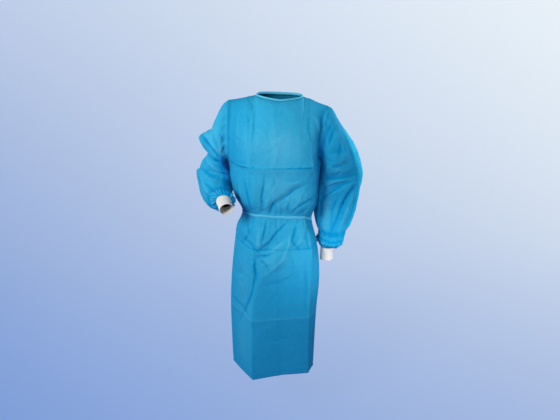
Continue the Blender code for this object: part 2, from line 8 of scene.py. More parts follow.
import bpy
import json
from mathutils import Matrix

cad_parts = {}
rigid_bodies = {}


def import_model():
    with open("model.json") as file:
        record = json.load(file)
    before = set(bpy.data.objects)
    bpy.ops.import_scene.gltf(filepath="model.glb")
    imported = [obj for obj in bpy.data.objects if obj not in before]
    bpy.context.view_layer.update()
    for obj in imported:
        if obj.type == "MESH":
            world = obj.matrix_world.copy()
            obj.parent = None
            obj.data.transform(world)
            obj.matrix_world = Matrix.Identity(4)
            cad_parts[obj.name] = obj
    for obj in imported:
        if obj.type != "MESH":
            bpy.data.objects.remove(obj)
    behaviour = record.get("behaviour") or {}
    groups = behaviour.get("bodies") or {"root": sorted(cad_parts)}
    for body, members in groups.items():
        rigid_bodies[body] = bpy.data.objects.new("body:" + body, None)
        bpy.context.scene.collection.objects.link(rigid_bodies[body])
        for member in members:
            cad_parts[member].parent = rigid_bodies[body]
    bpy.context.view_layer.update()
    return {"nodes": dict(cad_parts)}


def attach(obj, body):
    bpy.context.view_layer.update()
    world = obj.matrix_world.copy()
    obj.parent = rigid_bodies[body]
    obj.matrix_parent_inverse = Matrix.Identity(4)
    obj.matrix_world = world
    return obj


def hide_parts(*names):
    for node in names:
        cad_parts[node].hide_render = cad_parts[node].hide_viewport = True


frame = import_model()
print("solids:", sorted(frame["nodes"]))

# %% Tools
import json
from collections import namedtuple
from functools import partial

import bpy
import numpy as np
from mathutils import Vector

print("Blender", bpy.app.version_string)

# %% [markdown]
# ## Sizes of the gown
# A garment is measured at a few heights, as a tailor does. Each row below gives the side seams,
# the front's length creases and its centre at one height, in millimetres, with the depth of each
# (the wearer faces -Y, so front depths are negative), and how flat the faces between them are. We
# use tables because the form is one smooth surface through a few measured sections, which is easy
# to read and to change.

# %% Sections and seams
HEM, ARMPIT, WAIST = -1.190, -0.245, -0.460                 # heights, with the neck base at 0
SIDE_RIGHT, FRONT, SIDE_LEFT, BACK, ROUND = 0, 2, 4, 6, 8   # stations, counted round the gown
BACK_CREASE = 0.90   # how deep the back's length creases lie, against its centre


def metres(row):
    """A row of millimetres in metres."""
    return [value / 1000 for value in row]


Section = namedtuple("Section", "z right right_y crease_r crease_r_y mid mid_y crease_l crease_l_y"
                                " left left_y back flat")
SECTIONS = [Section(*metres(row[:-1]), row[-1]) for row in (
    (-1190, -212, -30, -117, -170, 4, -136, 124, -122, 148, -68, 160, 0.85),
    (-1040, -214, -25, -116, -168, 2, -144, 122, -131, 151, -68, 160, 0.80),
    (-892, -214, -20, -114, -166, 0, -154, 120, -141, 156, -63, 160, 0.80),
    (-740, -205, -15, -112, -154, -3, -148, 124, -136, 165, -55, 156, 0.55),
    (-581, -186, -10, -106, -138, -6, -139, 124, -126, 150, -40, 143, 0.45),
    (-520, -177, -5, -110, -121, -6, -126, 112, -112, 137, -25, 122, 0.25),
    (-468, -154, 0, -100, -97, -8, -110, 94, -97, 129, -12, 94, 0.05),
    (-452, -154, 0, -100, -97, -8, -110, 94, -97, 129, -12, 94, 0.05),
    (-405, -180, 0, -112, -118, -10, -127, 108, -115, 150, -8, 112, 0.20),
    (-330, -197, 0, -116, -128, -12, -137, 118, -126, 158, 0, 124, 0.30),
    (-245, -201, 0, -115, -128, -14, -138, 120, -126, 163, 8, 122, 0.30),
)]
print("length from neck to hem:", -HEM, "m, with", len(SECTIONS), "sections")

# %% [markdown]
# ## The form as functions
# The body is one surface. A place on it has a station, which counts round the gown from the
# right side seam, and a row, from 0 at the hem over 1 at the armpits to 2 at the shoulders.
# NumPy works out thousands of places at once. We could model by hand or sculpt, but functions
# with the solids' sizes keep every sheet on its solid. A few sleeve rings and the gap under the
# lap are set a little closer to the real cloth here, because it is thinner than the solids' walls.

# %% Curves
def smooth(low, high, value):
    """A soft step from 0 at low to 1 at high."""
    t = np.clip((value - low) / (high - low), 0, 1)
    return t * t * (3 - 2 * t)


def unit(vectors):
    """The same directions with length 1."""
    return vectors / np.linalg.norm(vectors, axis=-1, keepdims=True)


def hermite(t, h, start, end, leaving, arriving):
    """A cubic from start to end over a gap of h, with a slope at each."""
    return ((2 * t**3 - 3 * t**2 + 1) * start + (t**3 - 2 * t**2 + t) * h * leaving
            + (3 * t**2 - 2 * t**3) * end + (t**3 - t**2) * h * arriving)


def curve(knots, values, at):
    """A smooth curve through values, one row for each knot, read at the places in at."""
    knots, values = np.asarray(knots, float), np.asarray(values, float)
    at = np.asarray(at, float)
    gap = np.diff(knots)[:, None]
    slope = np.diff(values, axis=0) / gap
    inside = (slope[:-1] * gap[1:] + slope[1:] * gap[:-1]) / (gap[:-1] + gap[1:])
    tangent = np.vstack([slope[:1], inside, slope[-1:]])
    i = np.clip(np.searchsorted(knots, at, side="right") - 1, 0, len(knots) - 2)
    h = gap[i]
    t = (at - knots[i])[..., None] / h
    return hermite(t, h, values[i], values[i + 1], tangent[i], tangent[i + 1])


def passed(line):
    """How far along a line each of its points lies."""
    return np.concatenate([[0], np.linalg.norm(np.diff(line, axis=0), axis=-1).cumsum()])


print("halfway down a curve from 1 to 0:", curve([0, 1, 2], [[1.0], [1.0], [0.0]], [1.5]).round(3))

# %% The body below the armpits
BELT_HEIGHTS = [-0.466, -0.449, -0.452, -0.459, -0.497, -0.494, -0.484, -0.473]
BELT_TILT_REACH = 0.120   # the belt's slope fades from the cloth over this height


def belt_height(station):
    """The belt's middle at each station."""
    heights = BELT_HEIGHTS[-2:] + BELT_HEIGHTS + BELT_HEIGHTS[:3]
    return curve(range(-2, ROUND + 3), np.array(heights)[:, None], station % ROUND)[..., 0]


def section_corners(z):
    """The eight station points of the section at each height, and how flat its faces are."""
    table = np.array(SECTIONS)
    s = dict(zip(Section._fields[1:], np.moveaxis(curve(table[:, 0], table[:, 1:], z), -1, 0)))
    crease, middle = s["back"] * BACK_CREASE, (s["right"] + s["left"]) / 2
    corners = ("right", "crease_r", "mid", "crease_l", "left")
    points = [(s[name], s[name + "_y"]) for name in corners]
    points += [(s["crease_l"], crease), (middle, s["back"]), (s["crease_r"], crease)]
    return np.stack([np.stack(point, -1) for point in points]), s["flat"][..., None]


def body_point(station, z):
    """A place on the body, below the armpits."""
    corners, flat = section_corners(z)
    first = np.floor(station % ROUND).astype(int)
    before, start, end, after = (
        np.take_along_axis(corners, ((first + k) % ROUND)[None, ..., None], 0)[0]
        for k in (-1, 0, 1, 2))
    pairs = (before, start), (start, end), (end, after)
    reach = [np.linalg.norm(b - a, axis=-1, keepdims=True) for a, b in pairs]
    slope = [(b - a) / far for (a, b), far in zip(pairs, reach)]
    leaving = (slope[0] * reach[1] + slope[1] * reach[0]) / (reach[0] + reach[1])
    arriving = (slope[1] * reach[2] + slope[2] * reach[1]) / (reach[1] + reach[2])
    t = (station % 1)[..., None]
    rounded = hermite(t, reach[1], start, end, leaving, arriving)
    plan = rounded + flat * (start + t * (end - start) - rounded)
    near = np.maximum(0, 1 - ((z - WAIST) / BELT_TILT_REACH)**2)**2
    return np.dstack([plan, z + (belt_height(station) - WAIST) * near])


waist_stations = np.linspace(0, ROUND, 321)[None]
waist_line = body_point(waist_stations, np.full_like(waist_stations, WAIST))[0]
print("waist:", passed(waist_line)[-1].round(3), "m round")

# %% The shoulders and neckline
NECK_STATION = 2 / 6   # the neckline ends this far past a length crease
Side = namedtuple("Side", "corner_x corner_z crease_x neck_x neck_z")
RIGHT = Side(-0.197, -0.017, -0.119, -0.091, 0.003)
LEFT = Side(0.188, -0.041, 0.114, 0.087, -0.004)
NECK_FRONT = (0.000, -0.060, -0.009)
NECK_BACK = (-0.002, 0.056, -0.004)


def top_edge(station, front):
    """The shoulder seam and neckline of one side."""
    on_right = (station < FRONT) | (station > BACK)
    side = Side(*(np.where(on_right, right, left) for right, left in zip(RIGHT, LEFT)))
    step = np.minimum(np.minimum(station, ROUND - station), abs(station - SIDE_LEFT))
    seam_x = np.interp(step, [0, 1, 1 + NECK_STATION], [0, 1, 2])
    x = np.where(seam_x < 1, side.corner_x + (side.crease_x - side.corner_x) * seam_x,
                 side.crease_x + (side.neck_x - side.crease_x) * (seam_x - 1))
    drop = (side.neck_z - side.corner_z) * (x - side.corner_x)
    z = side.corner_z + drop / (side.neck_x - side.corner_x)
    angle = np.pi / 2 * np.clip((step - 1 - NECK_STATION) / (1 - NECK_STATION), 0, 1)
    middle = NECK_FRONT if front else NECK_BACK
    around = step > 1 + NECK_STATION
    x = np.where(around, middle[0] + (side.neck_x - middle[0]) * np.cos(angle), x)
    z = np.where(around, middle[2] + (side.neck_z - middle[2]) * np.cos(angle), z)
    return np.dstack([x, middle[1] * np.sin(angle), z])


print("neckline:", round(LEFT.neck_x - RIGHT.neck_x, 3), "m wide")

# %% The chest, shoulder blades and armholes
Armhole = namedtuple("Armhole", "front back inward")
ARMHOLE_RIGHT = Armhole(0.066, 0.082, 0.000)
ARMHOLE_LEFT = Armhole(0.068, 0.080, 0.044)
HOLE_SPREAD = 1.6   # how soon the cloth beside an armhole leaves its bend: 1 is evenly


def top_point(station, share, front):
    """A place above the armpits, from share 0 there to 1 at the top edge."""
    low, high = body_point(station, np.full_like(station, ARMPIT)), top_edge(station, front)
    rise = (1 - np.cos(np.pi * share)) / 2
    bulge = np.sqrt(np.maximum(0, 1 - rise**2))
    x, z = (low[..., k] + (high[..., k] - low[..., k]) * rise for k in (0, 2))
    y = high[..., 1] + (low[..., 1] - high[..., 1]) * bulge
    from_right, from_left = np.minimum(station, ROUND - station), abs(station - SIDE_LEFT)
    on_right = from_right < from_left
    near = np.clip(1 - np.minimum(from_right, from_left), 0, 1)
    hole = Armhole(*(np.where(on_right, right, left)
                     for right, left in zip(ARMHOLE_RIGHT, ARMHOLE_LEFT)))
    edge = np.sin(np.pi * share) * near**HOLE_SPREAD
    depth = -hole.front if front else hole.back
    y += depth * edge - low[..., 1] * (bulge - 1 + rise) * near**3
    inward = hole.inward * edge * (1 - share) * front
    return np.dstack([x - inward, y, z])


def smooth_point(station, row, front):
    """A place on the form without folds: row 0 is the hem, 1 the armpit, 2 the top."""
    below = body_point(station, HEM + (ARMPIT - HEM) * np.minimum(row, 1))
    above = top_point(np.clip(station, 0, ROUND), np.maximum(row - 1, 0), front)
    return np.where((row <= 1)[..., None], below, above)


neck_place = smooth_point(np.array([[float(FRONT)]]), np.array([[2.0]]), True)[0, 0]
print("front of the neckline:", neck_place.round(3))

# %% [markdown]
# ## Creases one by one
# Non-woven cloth doesn't flow like silk. It bends in short, straight, uneven creases, and
# keeps each one. Each row below is one crease, in millimetres: how far its shoulders reach, how
# high it stands (below 0 it is a trough), and its path across the cloth. Its two sides differ: one
# falls away gently and the other is steep, as where cloth has tipped over. Almost flat sides and a
# crisp line make it look like non-woven and not like padding. A cloth simulation would be the
# usual way, but a mesh that is light enough to keep smooths pressed folds away.

# %% Crease table
Crease = namedtuple("Crease", "side path reach height")


def crease_rows(side, rows):
    """Creases on the front (side -1) or the back (side 1)."""
    return [Crease(side, [metres(place) for place in path], *metres((reach, height)))
            for reach, height, *path in rows]


CREASES = crease_rows(-1, [
    # neck, chest and armholes
    (6, -2.5, (-106, -12), (-103, -45)), (7, -3, (-94, -40), (-96, -100), (-103, -160)),
    (10, 2, (-112, -150), (-114, -240)), (16, 4, (-152, -50), (-158, -120), (-160, -190)),
    (10, -3.5, (103, -38), (105, -110), (120, -160), (129, -215)),
    (10, 5, (121, -60), (140, -100), (150, -140)), (9, -4, (126, -200), (131, -250), (118, -290)),
    (6, -3, (-170, -236), (-125, -231)), (6, -3, (-170, -254), (-125, -259)),
    (12, 2, (-19, -60), (-19, -240)),
    # between the chest crease and the belt
    (8, -5, (-57, -266), (-61, -312), (-71, -368), (-66, -432)),
    (8, -5, (-20, -378), (-43, -442)),
    (10, -5, (-23, -393), (0, -377), (34, -352), (53, -332), (110, -305)),
    (8, -4, (38, -370), (29, -412), (39, -440)),
    (10, -6, (146, -354), (100, -381), (62, -407), (46, -432)),
    (9, 5, (137, -376), (110, -415), (86, -447)),
    (11, -5, (-135, -290), (-128, -360), (-112, -430)),
    (10, 4, (-160, -300), (-152, -380), (-130, -440)),
    (10, -3, (12, -290), (50, -296), (88, -282)),
    # between the belt and the hip crease
    (8, -5, (-52, -462), (-62, -510), (-73, -562)), (8, 4, (-81, -490), (-92, -574)),
    (9, -5, (-134, -470), (-126, -529), (-160, -584)),
    (9, -6, (35, -466), (-10, -509), (-40, -548), (-98, -594)),
    (9, -5, (67, -470), (48, -546), (80, -588)), (9, -4, (110, -480), (100, -530), (118, -590)),
    (9, -5, (-170, -556), (-120, -560), (-85, -590)), (9, 5, (20, -545), (-40, -590)),
    # the swirl over the hip, and the skirt
    (10, 4, (39, -510), (35, -563), (10, -624), (-24, -656), (-73, -692)),
    (10, -5, (-20, -590), (-50, -604), (-95, -606)),
    (10, -3, (-92, -600), (-60, -640), (-30, -690)),
    (8, -6, (-97, -640), (-100, -698), (-114, -756), (-141, -838), (-178, -952)),
    (8, -5, (-94, -604), (-103, -650), (-90, -720)),
    (12, 3, (-180, -640), (-140, -690), (-118, -700)), (14, -3, (-190, -730), (-150, -700)),
    (18, -3, (60, -680), (0, -720), (-60, -730)), (16, -3, (100, -620), (108, -760), (98, -860)),
    (9, -5, (-200, -848), (-146, -877), (-116, -899)),
    (20, 3, (-180, -1000), (-150, -1110), (-145, -1180)),
    (22, -2, (-80, -960), (-20, -1000), (60, -980)),
    (22, -1, (-70, -1090), (10, -1120), (90, -1090)),
]) + crease_rows(1, [
    # the back, where the belt gathers it and the shoulder blades stretch it
    (14, -5, (-150, -60), (-120, -140), (-118, -230)),
    (14, -5, (150, -80), (118, -150), (112, -240)), (12, 3, (-90, -40), (-60, -110), (-20, -160)),
    (10, -5, (-160, -262), (-100, -300), (-60, -380)),
    (9, -6, (-130, -340), (-100, -400), (-85, -455)),
    (9, -5, (-40, -330), (-48, -400), (-30, -462)), (10, -6, (120, -280), (90, -340), (70, -440)),
    (8, -5, (28, -360), (20, -420), (34, -470)), (8, 5, (118, -380), (100, -430), (105, -480)),
    (10, -6, (-110, -490), (-120, -560), (-100, -640)),
    (9, -5, (-60, -492), (-48, -560), (-70, -620)), (10, 5, (-10, -500), (10, -590), (-15, -690)),
    (9, -6, (50, -505), (40, -570), (70, -650)), (10, -5, (95, -510), (110, -580), (90, -660)),
    (14, -5, (-130, -680), (-80, -740), (-50, -830)),
    (14, -5, (110, -700), (70, -780), (60, -870)),
    (18, 4, (-150, -940), (-90, -990), (-75, -1120)),
    (18, -4, (40, -930), (80, -1010), (70, -1130)),
])
print(len(CREASES), "creases placed by hand")

# %% How far a place is from a path
def along_path(plan, path):
    """How far each place is from a path (below 0 on its right), and its share along that path."""
    path = np.array(path)
    runs, places = np.diff(path, axis=0), passed(path)
    nearest, share = np.full(plan.shape[:-1], np.inf), np.zeros(plan.shape[:-1])
    for start, run, length, before in zip(path, runs, np.linalg.norm(runs, axis=1), places):
        t = np.clip((plan - start) @ run / length**2, 0, 1)
        away = plan - start - run * t[..., None]
        on_left = run[0] * away[..., 1] - run[1] * away[..., 0] >= 0
        off = np.linalg.norm(away, axis=-1) * np.where(on_left, 1, -1)
        closer = abs(off) < abs(nearest)
        nearest = np.where(closer, off, nearest)
        share = np.where(closer, (before + t * length) / places[-1], share)
    return nearest, share


sample = along_path(np.array([[0.02, 0.01], [0.05, -0.03]]), ((0, 0), (0.1, 0)))
print("distances from a path, and shares along it:", *sample)

# %% Crease heights
# A crease's line is painted: a paler blue along a ridge is painted highlight, a deeper blue along a
# trough is painted shade.
CREST, LINE = 0.0012, 0.0034   # half widths of a crease's rounding, and of its bent threads' line
STEEP, GENTLE = 0.8, 2.2       # reach of its two sides, against the table's
FLATNESS = 1.15                # 1 would make the sides flat with a hard foot
FOLD_TAPER = 0.12              # how much of a fold's end is missing, as it starts from nothing
FULL_LINE = 0.006              # a crease this high shows its line in full


def crease_height(plan, crease):
    """The crease's height at each place, and how much of its painted line runs there: highlight on
    a ridge, shade in a trough.
    """
    off, share = along_path(plan, crease.path)
    reach = crease.reach * (STEEP + (GENTLE - STEEP) * smooth(-CREST, CREST, off))
    profile = np.maximum(0, 1 - (np.sqrt(off**2 + CREST**2) - CREST) / reach)**FLATNESS
    strength = np.sin(np.pi * (FOLD_TAPER / 2 + (1 - FOLD_TAPER) * share))
    line = np.exp(-(off / LINE)**2) * strength * crease.height / FULL_LINE
    return np.stack([crease.height * profile * strength, line])


widest = max(crease.reach for crease in CREASES)
print("the widest crease reaches", round(1000 * GENTLE * widest), "mm on its gentle side")

# %% The largest folds, which the solids have too
# side, then the start, the end, the width and the height in millimetres
Fold = namedtuple("Fold", "side x0 z0 x1 z1 width height")
FOLDS = [Fold(row[0], *metres(row[1:])) for row in (
    (-1, -30, -405, 110, -305, 20, -9), (-1, 45, -430, 145, -355, 20, 8),
    (-1, -70, -420, -58, -290, 20, -5), (-1, 40, -510, -80, -600, 22, -8),
    (-1, 37, -540, -60, -690, 24, 8), (-1, 82, -490, 84, -570, 18, 9),
    (-1, -60, -490, -85, -590, 18, 6), (-1, -98, -660, -178, -950, 22, -9),
    (-1, -115, -245, 125, -262, 14, 4), (1, -60, -430, -110, -310, 24, -8),
    (1, 70, -430, 105, -300, 24, -8), (1, -40, -520, -90, -660, 26, 9),
    (1, 60, -530, 95, -700, 26, 9), (1, -120, -620, -140, -900, 26, -8),
)]


def fold_height(points):
    """All the largest folds together."""
    total = np.zeros(points.shape[:-1])
    plan = points[..., [0, 2]]
    for fold in FOLDS:
        off, share = along_path(plan, ((fold.x0, fold.z0), (fold.x1, fold.z1)))
        taper = np.sin(np.pi * (FOLD_TAPER + (1 - 2 * FOLD_TAPER) * share))
        here = fold.side * points[..., 1] > 0
        total += fold.height * np.exp(-(off / fold.width)**2) * taper * here
    return total


print(len(FOLDS), "large folds")

# %% [markdown]
# ## Crinkles
# Between its creases the cloth is never flat: it is lightly crumpled from the packet, in small
# flat facets with straight edges, as paper is. Random heights on a net of triangles give those
# facets, and a smooth noise bends the net so that it never looks regular. Some short creases lie
# between them. The numbers come from a hash of the place, so every run gives the same cloth. A
# texture could fake all this, but real height catches the light from any side.

# %% Noise
def hashed(cell, seed):
    """A random number from -1 to 1 for each cell."""
    mixed = (cell * np.array([374761393, 668265263, 1274126177])).sum(-1) + seed * 1442695041
    mixed = (mixed ^ (mixed >> 13)) * 1103515245 & 0x7fffffff
    mixed = (mixed ^ (mixed >> 15)) * 12820163 & 0x7fffffff
    return mixed / 0x3fffffff - 1


def hills(points, size, seed):
    """Smooth random hills of the given size in metres."""
    place = points / size
    cell = np.floor(place).astype(np.int64)
    t = place - cell
    t = t**3 * (t * (t * 6 - 15) + 10)
    total = 0
    for corner in np.ndindex(2, 2, 2):
        share = np.prod(np.where(corner, t, 1 - t), axis=-1)
        total = total + share * hashed(cell + np.array(corner), seed)
    return total


def facets(place, size, seed):
    """Flat facets that meet in straight creases: random heights on a net of triangles."""
    u, v = place[..., 0] / size, place[..., 1] / size
    a, b = u - 0.57735 * v, 1.1547 * v
    i, j = np.floor(a).astype(np.int64), np.floor(b).astype(np.int64)
    a, b = a - i, b - j

    def height(di, dj):
        return hashed(np.stack([i + di, j + dj, np.zeros_like(i)], -1), seed)

    lower = height(0, 0) * (1 - a - b) + height(1, 0) * a + height(0, 1) * b
    upper = height(1, 1) * (a + b - 1) + height(1, 0) * (1 - b) + height(0, 1) * (1 - a)
    return np.where(a + b < 1, lower, upper)


print("facet sample:", facets(np.array([[0.0, 0.0], [0.02, -0.3]]), 0.07, 1).round(3))

# %% Short creases
SHORT_LENGTH, SHORT_REACH, SHORT_HEIGHT = 0.050, 0.0045, 0.0013
SHORT_LEAN, SHORT_BEND = 1.25, 0.12   # at most, in radians and against the length


def scattered(side, low, high, count, seed):
    """Short straight creases at hashed places in a box of the cloth, mostly upright."""
    low, high = np.array(low), np.array(high)
    creases = []
    for k in range(count):
        across, upwards, lean, size, lift = (hashed(np.array([k, n, seed]), seed) for n in range(5))
        start = low + (high - low) * (np.array([across, upwards]) + 1) / 2
        angle = np.pi / 2 + SHORT_LEAN * lean
        run = np.array([np.cos(angle), np.sin(angle)]) * (SHORT_LENGTH + SHORT_LENGTH / 2 * size)
        bend = np.array([-run[1], run[0]]) * SHORT_BEND * lift
        height = SHORT_HEIGHT * np.sign(lift) * (0.5 + abs(lift))
        path = start, start + run / 2 + bend, start + run
        creases.append(Crease(side, path, SHORT_REACH, height))
    return creases


for side, low, high, count, seed in (
        (-1, (-0.18, -0.44), (0.16, -0.02), 46, 7), (-1, (-0.20, -0.92), (0.15, -0.47), 24, 12),
        (-1, (-0.15, -0.45), (0.13, -0.34), 30, 21), (-1, (-0.16, -0.64), (0.13, -0.49), 36, 22),
        (1, (-0.19, -0.44), (0.17, -0.02), 46, 9), (1, (-0.20, -1.00), (0.16, -0.47), 50, 10)):
    CREASES += scattered(side, low, high, count, seed)
print(len(CREASES), "creases with the short ones")

# %% Crumpled cloth
Crumple = namedtuple("Crumple", "size height bend")   # in metres; bend: how far drift moves it
LARGE, SMALL = Crumple(0.070, 0.0017, 0.022), Crumple(0.031, 0.0007, 0.012)
RIDGES, SWELL = Crumple(0.055, 0.0010, 0.010), Crumple(0.120, 0.0014, 0)
DRIFT = 0.08   # size of the slow noise that bends the rest
TURN = np.array([[np.cos(0.5), -np.sin(0.5)], [np.sin(0.5), np.cos(0.5)]])   # off the cloth's grain


def crinkle(points, cloth, seed):
    """Heights of a lightly crumpled cloth, in metres. cloth has the places on the flat cloth."""
    drift = np.stack([hills(points, DRIFT, seed + k) for k in (1, 2)], -1)
    large = LARGE.height * facets(cloth @ TURN + LARGE.bend * drift, LARGE.size, seed + 3)
    small = SMALL.height * facets(cloth @ TURN.T + SMALL.bend * drift, SMALL.size, seed + 4)
    folded = hills(points + RIDGES.bend * drift[..., :1], RIDGES.size, seed + 5)
    swell = SWELL.height * hills(points, SWELL.size, seed + 6)
    return large + small + RIDGES.height * (0.5 - abs(folded)) + swell


patch = np.stack(np.meshgrid(np.linspace(0, 0.3, 60), [0.0], np.linspace(0, 0.3, 60)), -1)[0]
crumpled = crinkle(patch, patch[..., [0, 2]], 1)
print("crumpled patch:", (1000 * crumpled.min()).round(1), "to", (1000 * crumpled.max()).round(1),
      "mm")

# %% [markdown]
# ## Panels
# A panel is a grid of places, moved out by its folds and creases along the form's own normal.
# Near the seams everything calms down, so that the panels still meet. The grid's rows run along the
# pressed creases and the belt, so that these stay sharp with few faces.

# %% Places on the panels
LOW_CREASE, HIP_CREASE = -0.892, -0.581   # heights of the pressed creases round the skirt
BELT_SEAT = 0.008                         # half the height of the flat band under the belt
SIDE_COLUMNS, MIDDLE_COLUMNS = 30, 36     # about 3.5 mm apart
ROW_COUNTS = (80, 84, 32, 8, 56)          # from the hem over the creases and belt to the armpits
ARMHOLE_STEPS = 66
ARMPIT_ROW = sum(ROW_COUNTS)
BELT_ROW = sum(ROW_COUNTS[:3])
HAIR = 1e-6                               # stations closer than this are one


def row_places():
    """The rows of a panel's grid: 0 at the hem, 1 at the armpit, 2 at the top."""
    heights = [HEM, LOW_CREASE, HIP_CREASE, WAIST - BELT_SEAT, WAIST + BELT_SEAT, ARMPIT]
    below = [np.linspace(low, high, n, endpoint=False)
             for low, high, n in zip(heights, heights[1:], ROW_COUNTS)]
    rows = (np.concatenate(below) - HEM) / (ARMPIT - HEM)
    return np.concatenate([rows, np.linspace(1, 2, ARMHOLE_STEPS + 1)])


def stations_between(first, last):
    """The columns of a panel's grid, from one station to another."""
    columns = [SIDE_COLUMNS if start in (0, 3, 4, 7) else MIDDLE_COLUMNS for start in range(ROUND)]
    places = [start + i / n for start, n in enumerate(columns) for i in range(n)] + [ROUND]
    return np.array([place for place in places if first - HAIR < place < last + HAIR])


print("rows:", len(row_places()), "columns of the front:", len(stations_between(0, SIDE_LEFT)))

# %% [markdown]
# ## Pressed creases, gathers and seams
# The gown was folded flat and pressed in its packet, so a net of straight creases runs round it
# and down it. The belt gathers the cloth in small upright puckers. A seam is a line of stitches
# through two layers, which pulls the cloth into a groove beside a soft swelling. Each is a height
# over the same places, so we can add them up; modelled as separate strips they would need joins.

# %% Pressed creases
PRESSED_REACH = 0.012
PRESSED_WANDER = 0.004   # a pressed crease strays this far from a straight line
STATION_LENGTH = 0.11    # the cloth's mean width from station to station
# A pressed crease's line is painted: paler is painted highlight, deeper is painted shade.
Pressed = namedtuple("Pressed", "place lift line")   # line: above 0 it is paler, below 0 deeper
PRESSED_ROWS = [Pressed(ARMPIT, 0.0045, -0.9), Pressed(HIP_CREASE, -0.0030, -0.7),
                Pressed(LOW_CREASE, 0.0035, 0.8)]
PRESSED_STATIONS = [Pressed(1, 0.0022, -0.5), Pressed(1.92, 0.0012, -0.25), Pressed(3, 0.0018, 0.4),
                    Pressed(5, 0.0020, -0.4), Pressed(7, 0.0015, -0.4)]


def pressed_height(points, station):
    """The net of straight creases that the folded gown was pressed into, and their painted lines of
    shade and highlight.
    """
    wander = PRESSED_WANDER * hills(points * [1, 1, 0], 0.09, 11)
    strength = 0.75 + 0.5 * hills(points, 0.060, 12)
    rows = [(abs(points[..., 2] - row.place - wander), row) for row in PRESSED_ROWS]
    columns = [(abs(station - at.place) * STATION_LENGTH, at) for at in PRESSED_STATIONS]
    total = 0
    for off, crease in rows + columns:
        lift = crease.lift * np.exp(-(np.sqrt(off**2 + CREST**2) - CREST) / PRESSED_REACH)
        total = total + np.stack([lift, crease.line * np.exp(-(off / LINE)**2)]) * strength
    return total


print(len(PRESSED_ROWS), "pressed creases round the gown,", len(PRESSED_STATIONS), "down it")

# %% Gathers and seams
GATHER_HEIGHT, GATHER_LENGTH = 0.0016, 0.026   # puckers at the belt
SEAM_PUCKER, WELT, GROOVE = 0.0005, 0.0010, 0.0009   # heights beside a seam, and above the hem
WELT_PLACE, GROOVE_PLACE = 0.007, 0.018   # from the seam, and from the hem


def gather_height(points, station):
    """Small upright puckers that fade away from the belt, each to its own length."""
    off = abs(points[..., 2] - belt_height(station))
    waves = np.sin(station * 19 + 2.2 * np.sin(station * 3.1)) + 0.6 * np.sin(station * 31 + 1.0)
    length = GATHER_LENGTH * (1.1 + hills(points * [1, 1, 0], 0.030, 31))
    return GATHER_HEIGHT * waves * smooth(0.002, 0.014, off) * np.exp(-off / length)


def sewn_height(points, station, seam):
    """The swelling beside a seam, its small puckers, and the stitched groove above the hem."""
    off = seam * STATION_LENGTH
    waves = np.sin(points[..., 2] * 520 + 2 * np.sin(points[..., 2] * 90))
    pucker = SEAM_PUCKER * waves * np.exp(-off / 0.010)
    welt = WELT * np.exp(-((off - WELT_PLACE) / 0.0045)**2)
    drop = points[..., 2] - HEM
    groove = -GROOVE * np.exp(-((drop - GROOVE_PLACE) / 0.0035)**2)
    return pucker + welt + groove * (drop < 0.05)


print("gathers reach", 1000 * GATHER_LENGTH, "mm from the belt; the hem is stitched",
      1000 * GROOVE_PLACE, "mm up")

# %% Panel grids
LAP_REACH = 3 / 6     # each back runs this far past the centre, in stations
LAP_LIFT = 0.0024     # the lapping back's cloth lies this far over the other
NECK_RISE = 1.6       # row from which the lap's lift also leans back, to clear the neckline
SEAM_CALM, TOP_CALM = 0.5, 1.8   # stations and rows in which the large folds fade
SEAM_EDGE = 0.10      # stations beside a seam in which the small creases fade
CREASE_SHARE = 0.8    # the gown hangs fairly smooth, so its creases are lower than the sleeves'
FOLD_SHARE = 0.7      # the creases stand on the large folds, which are a little lower for them
LOW_CALM = 0.45       # below the lowest pressed crease, the cloth is this much smoother
Panel = namedtuple("Panel", "grid normal height line station row")


def panel(first, last, front=False, lift=0.0, seed=1):
    """A panel's grid. lift: how far its lap stands off the other back panel."""
    station, row = np.meshgrid(stations_between(first, last), row_places())
    rise = lift * smooth(SIDE_LEFT + 1 + NECK_STATION, BACK - LAP_REACH, station)
    step = 0.004
    here = smooth_point(station, row, front)
    across = (smooth_point(np.minimum(station + step, station.max()), row, front)
              - smooth_point(np.maximum(station - step, station.min()), row, front))
    up = (smooth_point(station, np.minimum(row + step, 2), front)
          - smooth_point(station, np.maximum(row - step, 0), front))
    normal = unit(np.cross(across, up))
    seam = np.minimum(np.minimum(abs(station), abs(station - SIDE_LEFT)), abs(station - ROUND))
    belt = abs(here[..., 2] - belt_height(station))
    large = FOLD_SHARE * fold_height(here)
    large = large * smooth(0, SEAM_CALM, seam) * smooth(2, TOP_CALM, row)
    plan = here[..., [0, 2]]
    cloth = np.stack([station * STATION_LENGTH, here[..., 2]], -1)
    creases = sum(crease_height(plan, c) for c in CREASES if (c.side < 0) == front)
    bent, line = CREASE_SHARE * creases + pressed_height(here, station)
    straight = 1 - LOW_CALM * smooth(LOW_CREASE + 0.05, LOW_CREASE - 0.02, here[..., 2])
    small = (bent + crinkle(here, cloth, seed)) * straight + gather_height(here, station)
    small = small * smooth(0, SEAM_EDGE, seam) + sewn_height(here, station, seam)
    small = small * smooth(2, 1.94, row)
    height = (large * smooth(BELT_SEAT * 0.7, 3 * BELT_SEAT, belt)
              + small * smooth(BELT_SEAT * 0.7, BELT_SEAT * 1.7, belt))
    backwards = rise * smooth(NECK_RISE, 2, row)
    grid = here + normal * (height + rise)[..., None] + backwards[..., None] * [0, 1, 0]
    return Panel(grid, normal, height, line, station, row)


front = panel(SIDE_RIGHT, SIDE_LEFT, front=True, seed=3)
under = panel(BACK - LAP_REACH, ROUND, seed=5)
over = panel(SIDE_LEFT, BACK + LAP_REACH, lift=LAP_LIFT, seed=5)
print("front grid:", front.grid.shape[:2], "folds from", front.height.min().round(4), "to",
      front.height.max().round(4))

# %% [markdown]
# ## Sleeves
# A sleeve is a tube of rings. The first ring is the armhole itself, so the tube grows out of the
# two panels' edges, and the last is the small ring at the cuff. The rings are wide and loose
# between them, and the cloth is gathered where it meets the cuff. A ring's row gives its place
# under the arm and over it, its depth, and how many degrees it turns to face down.

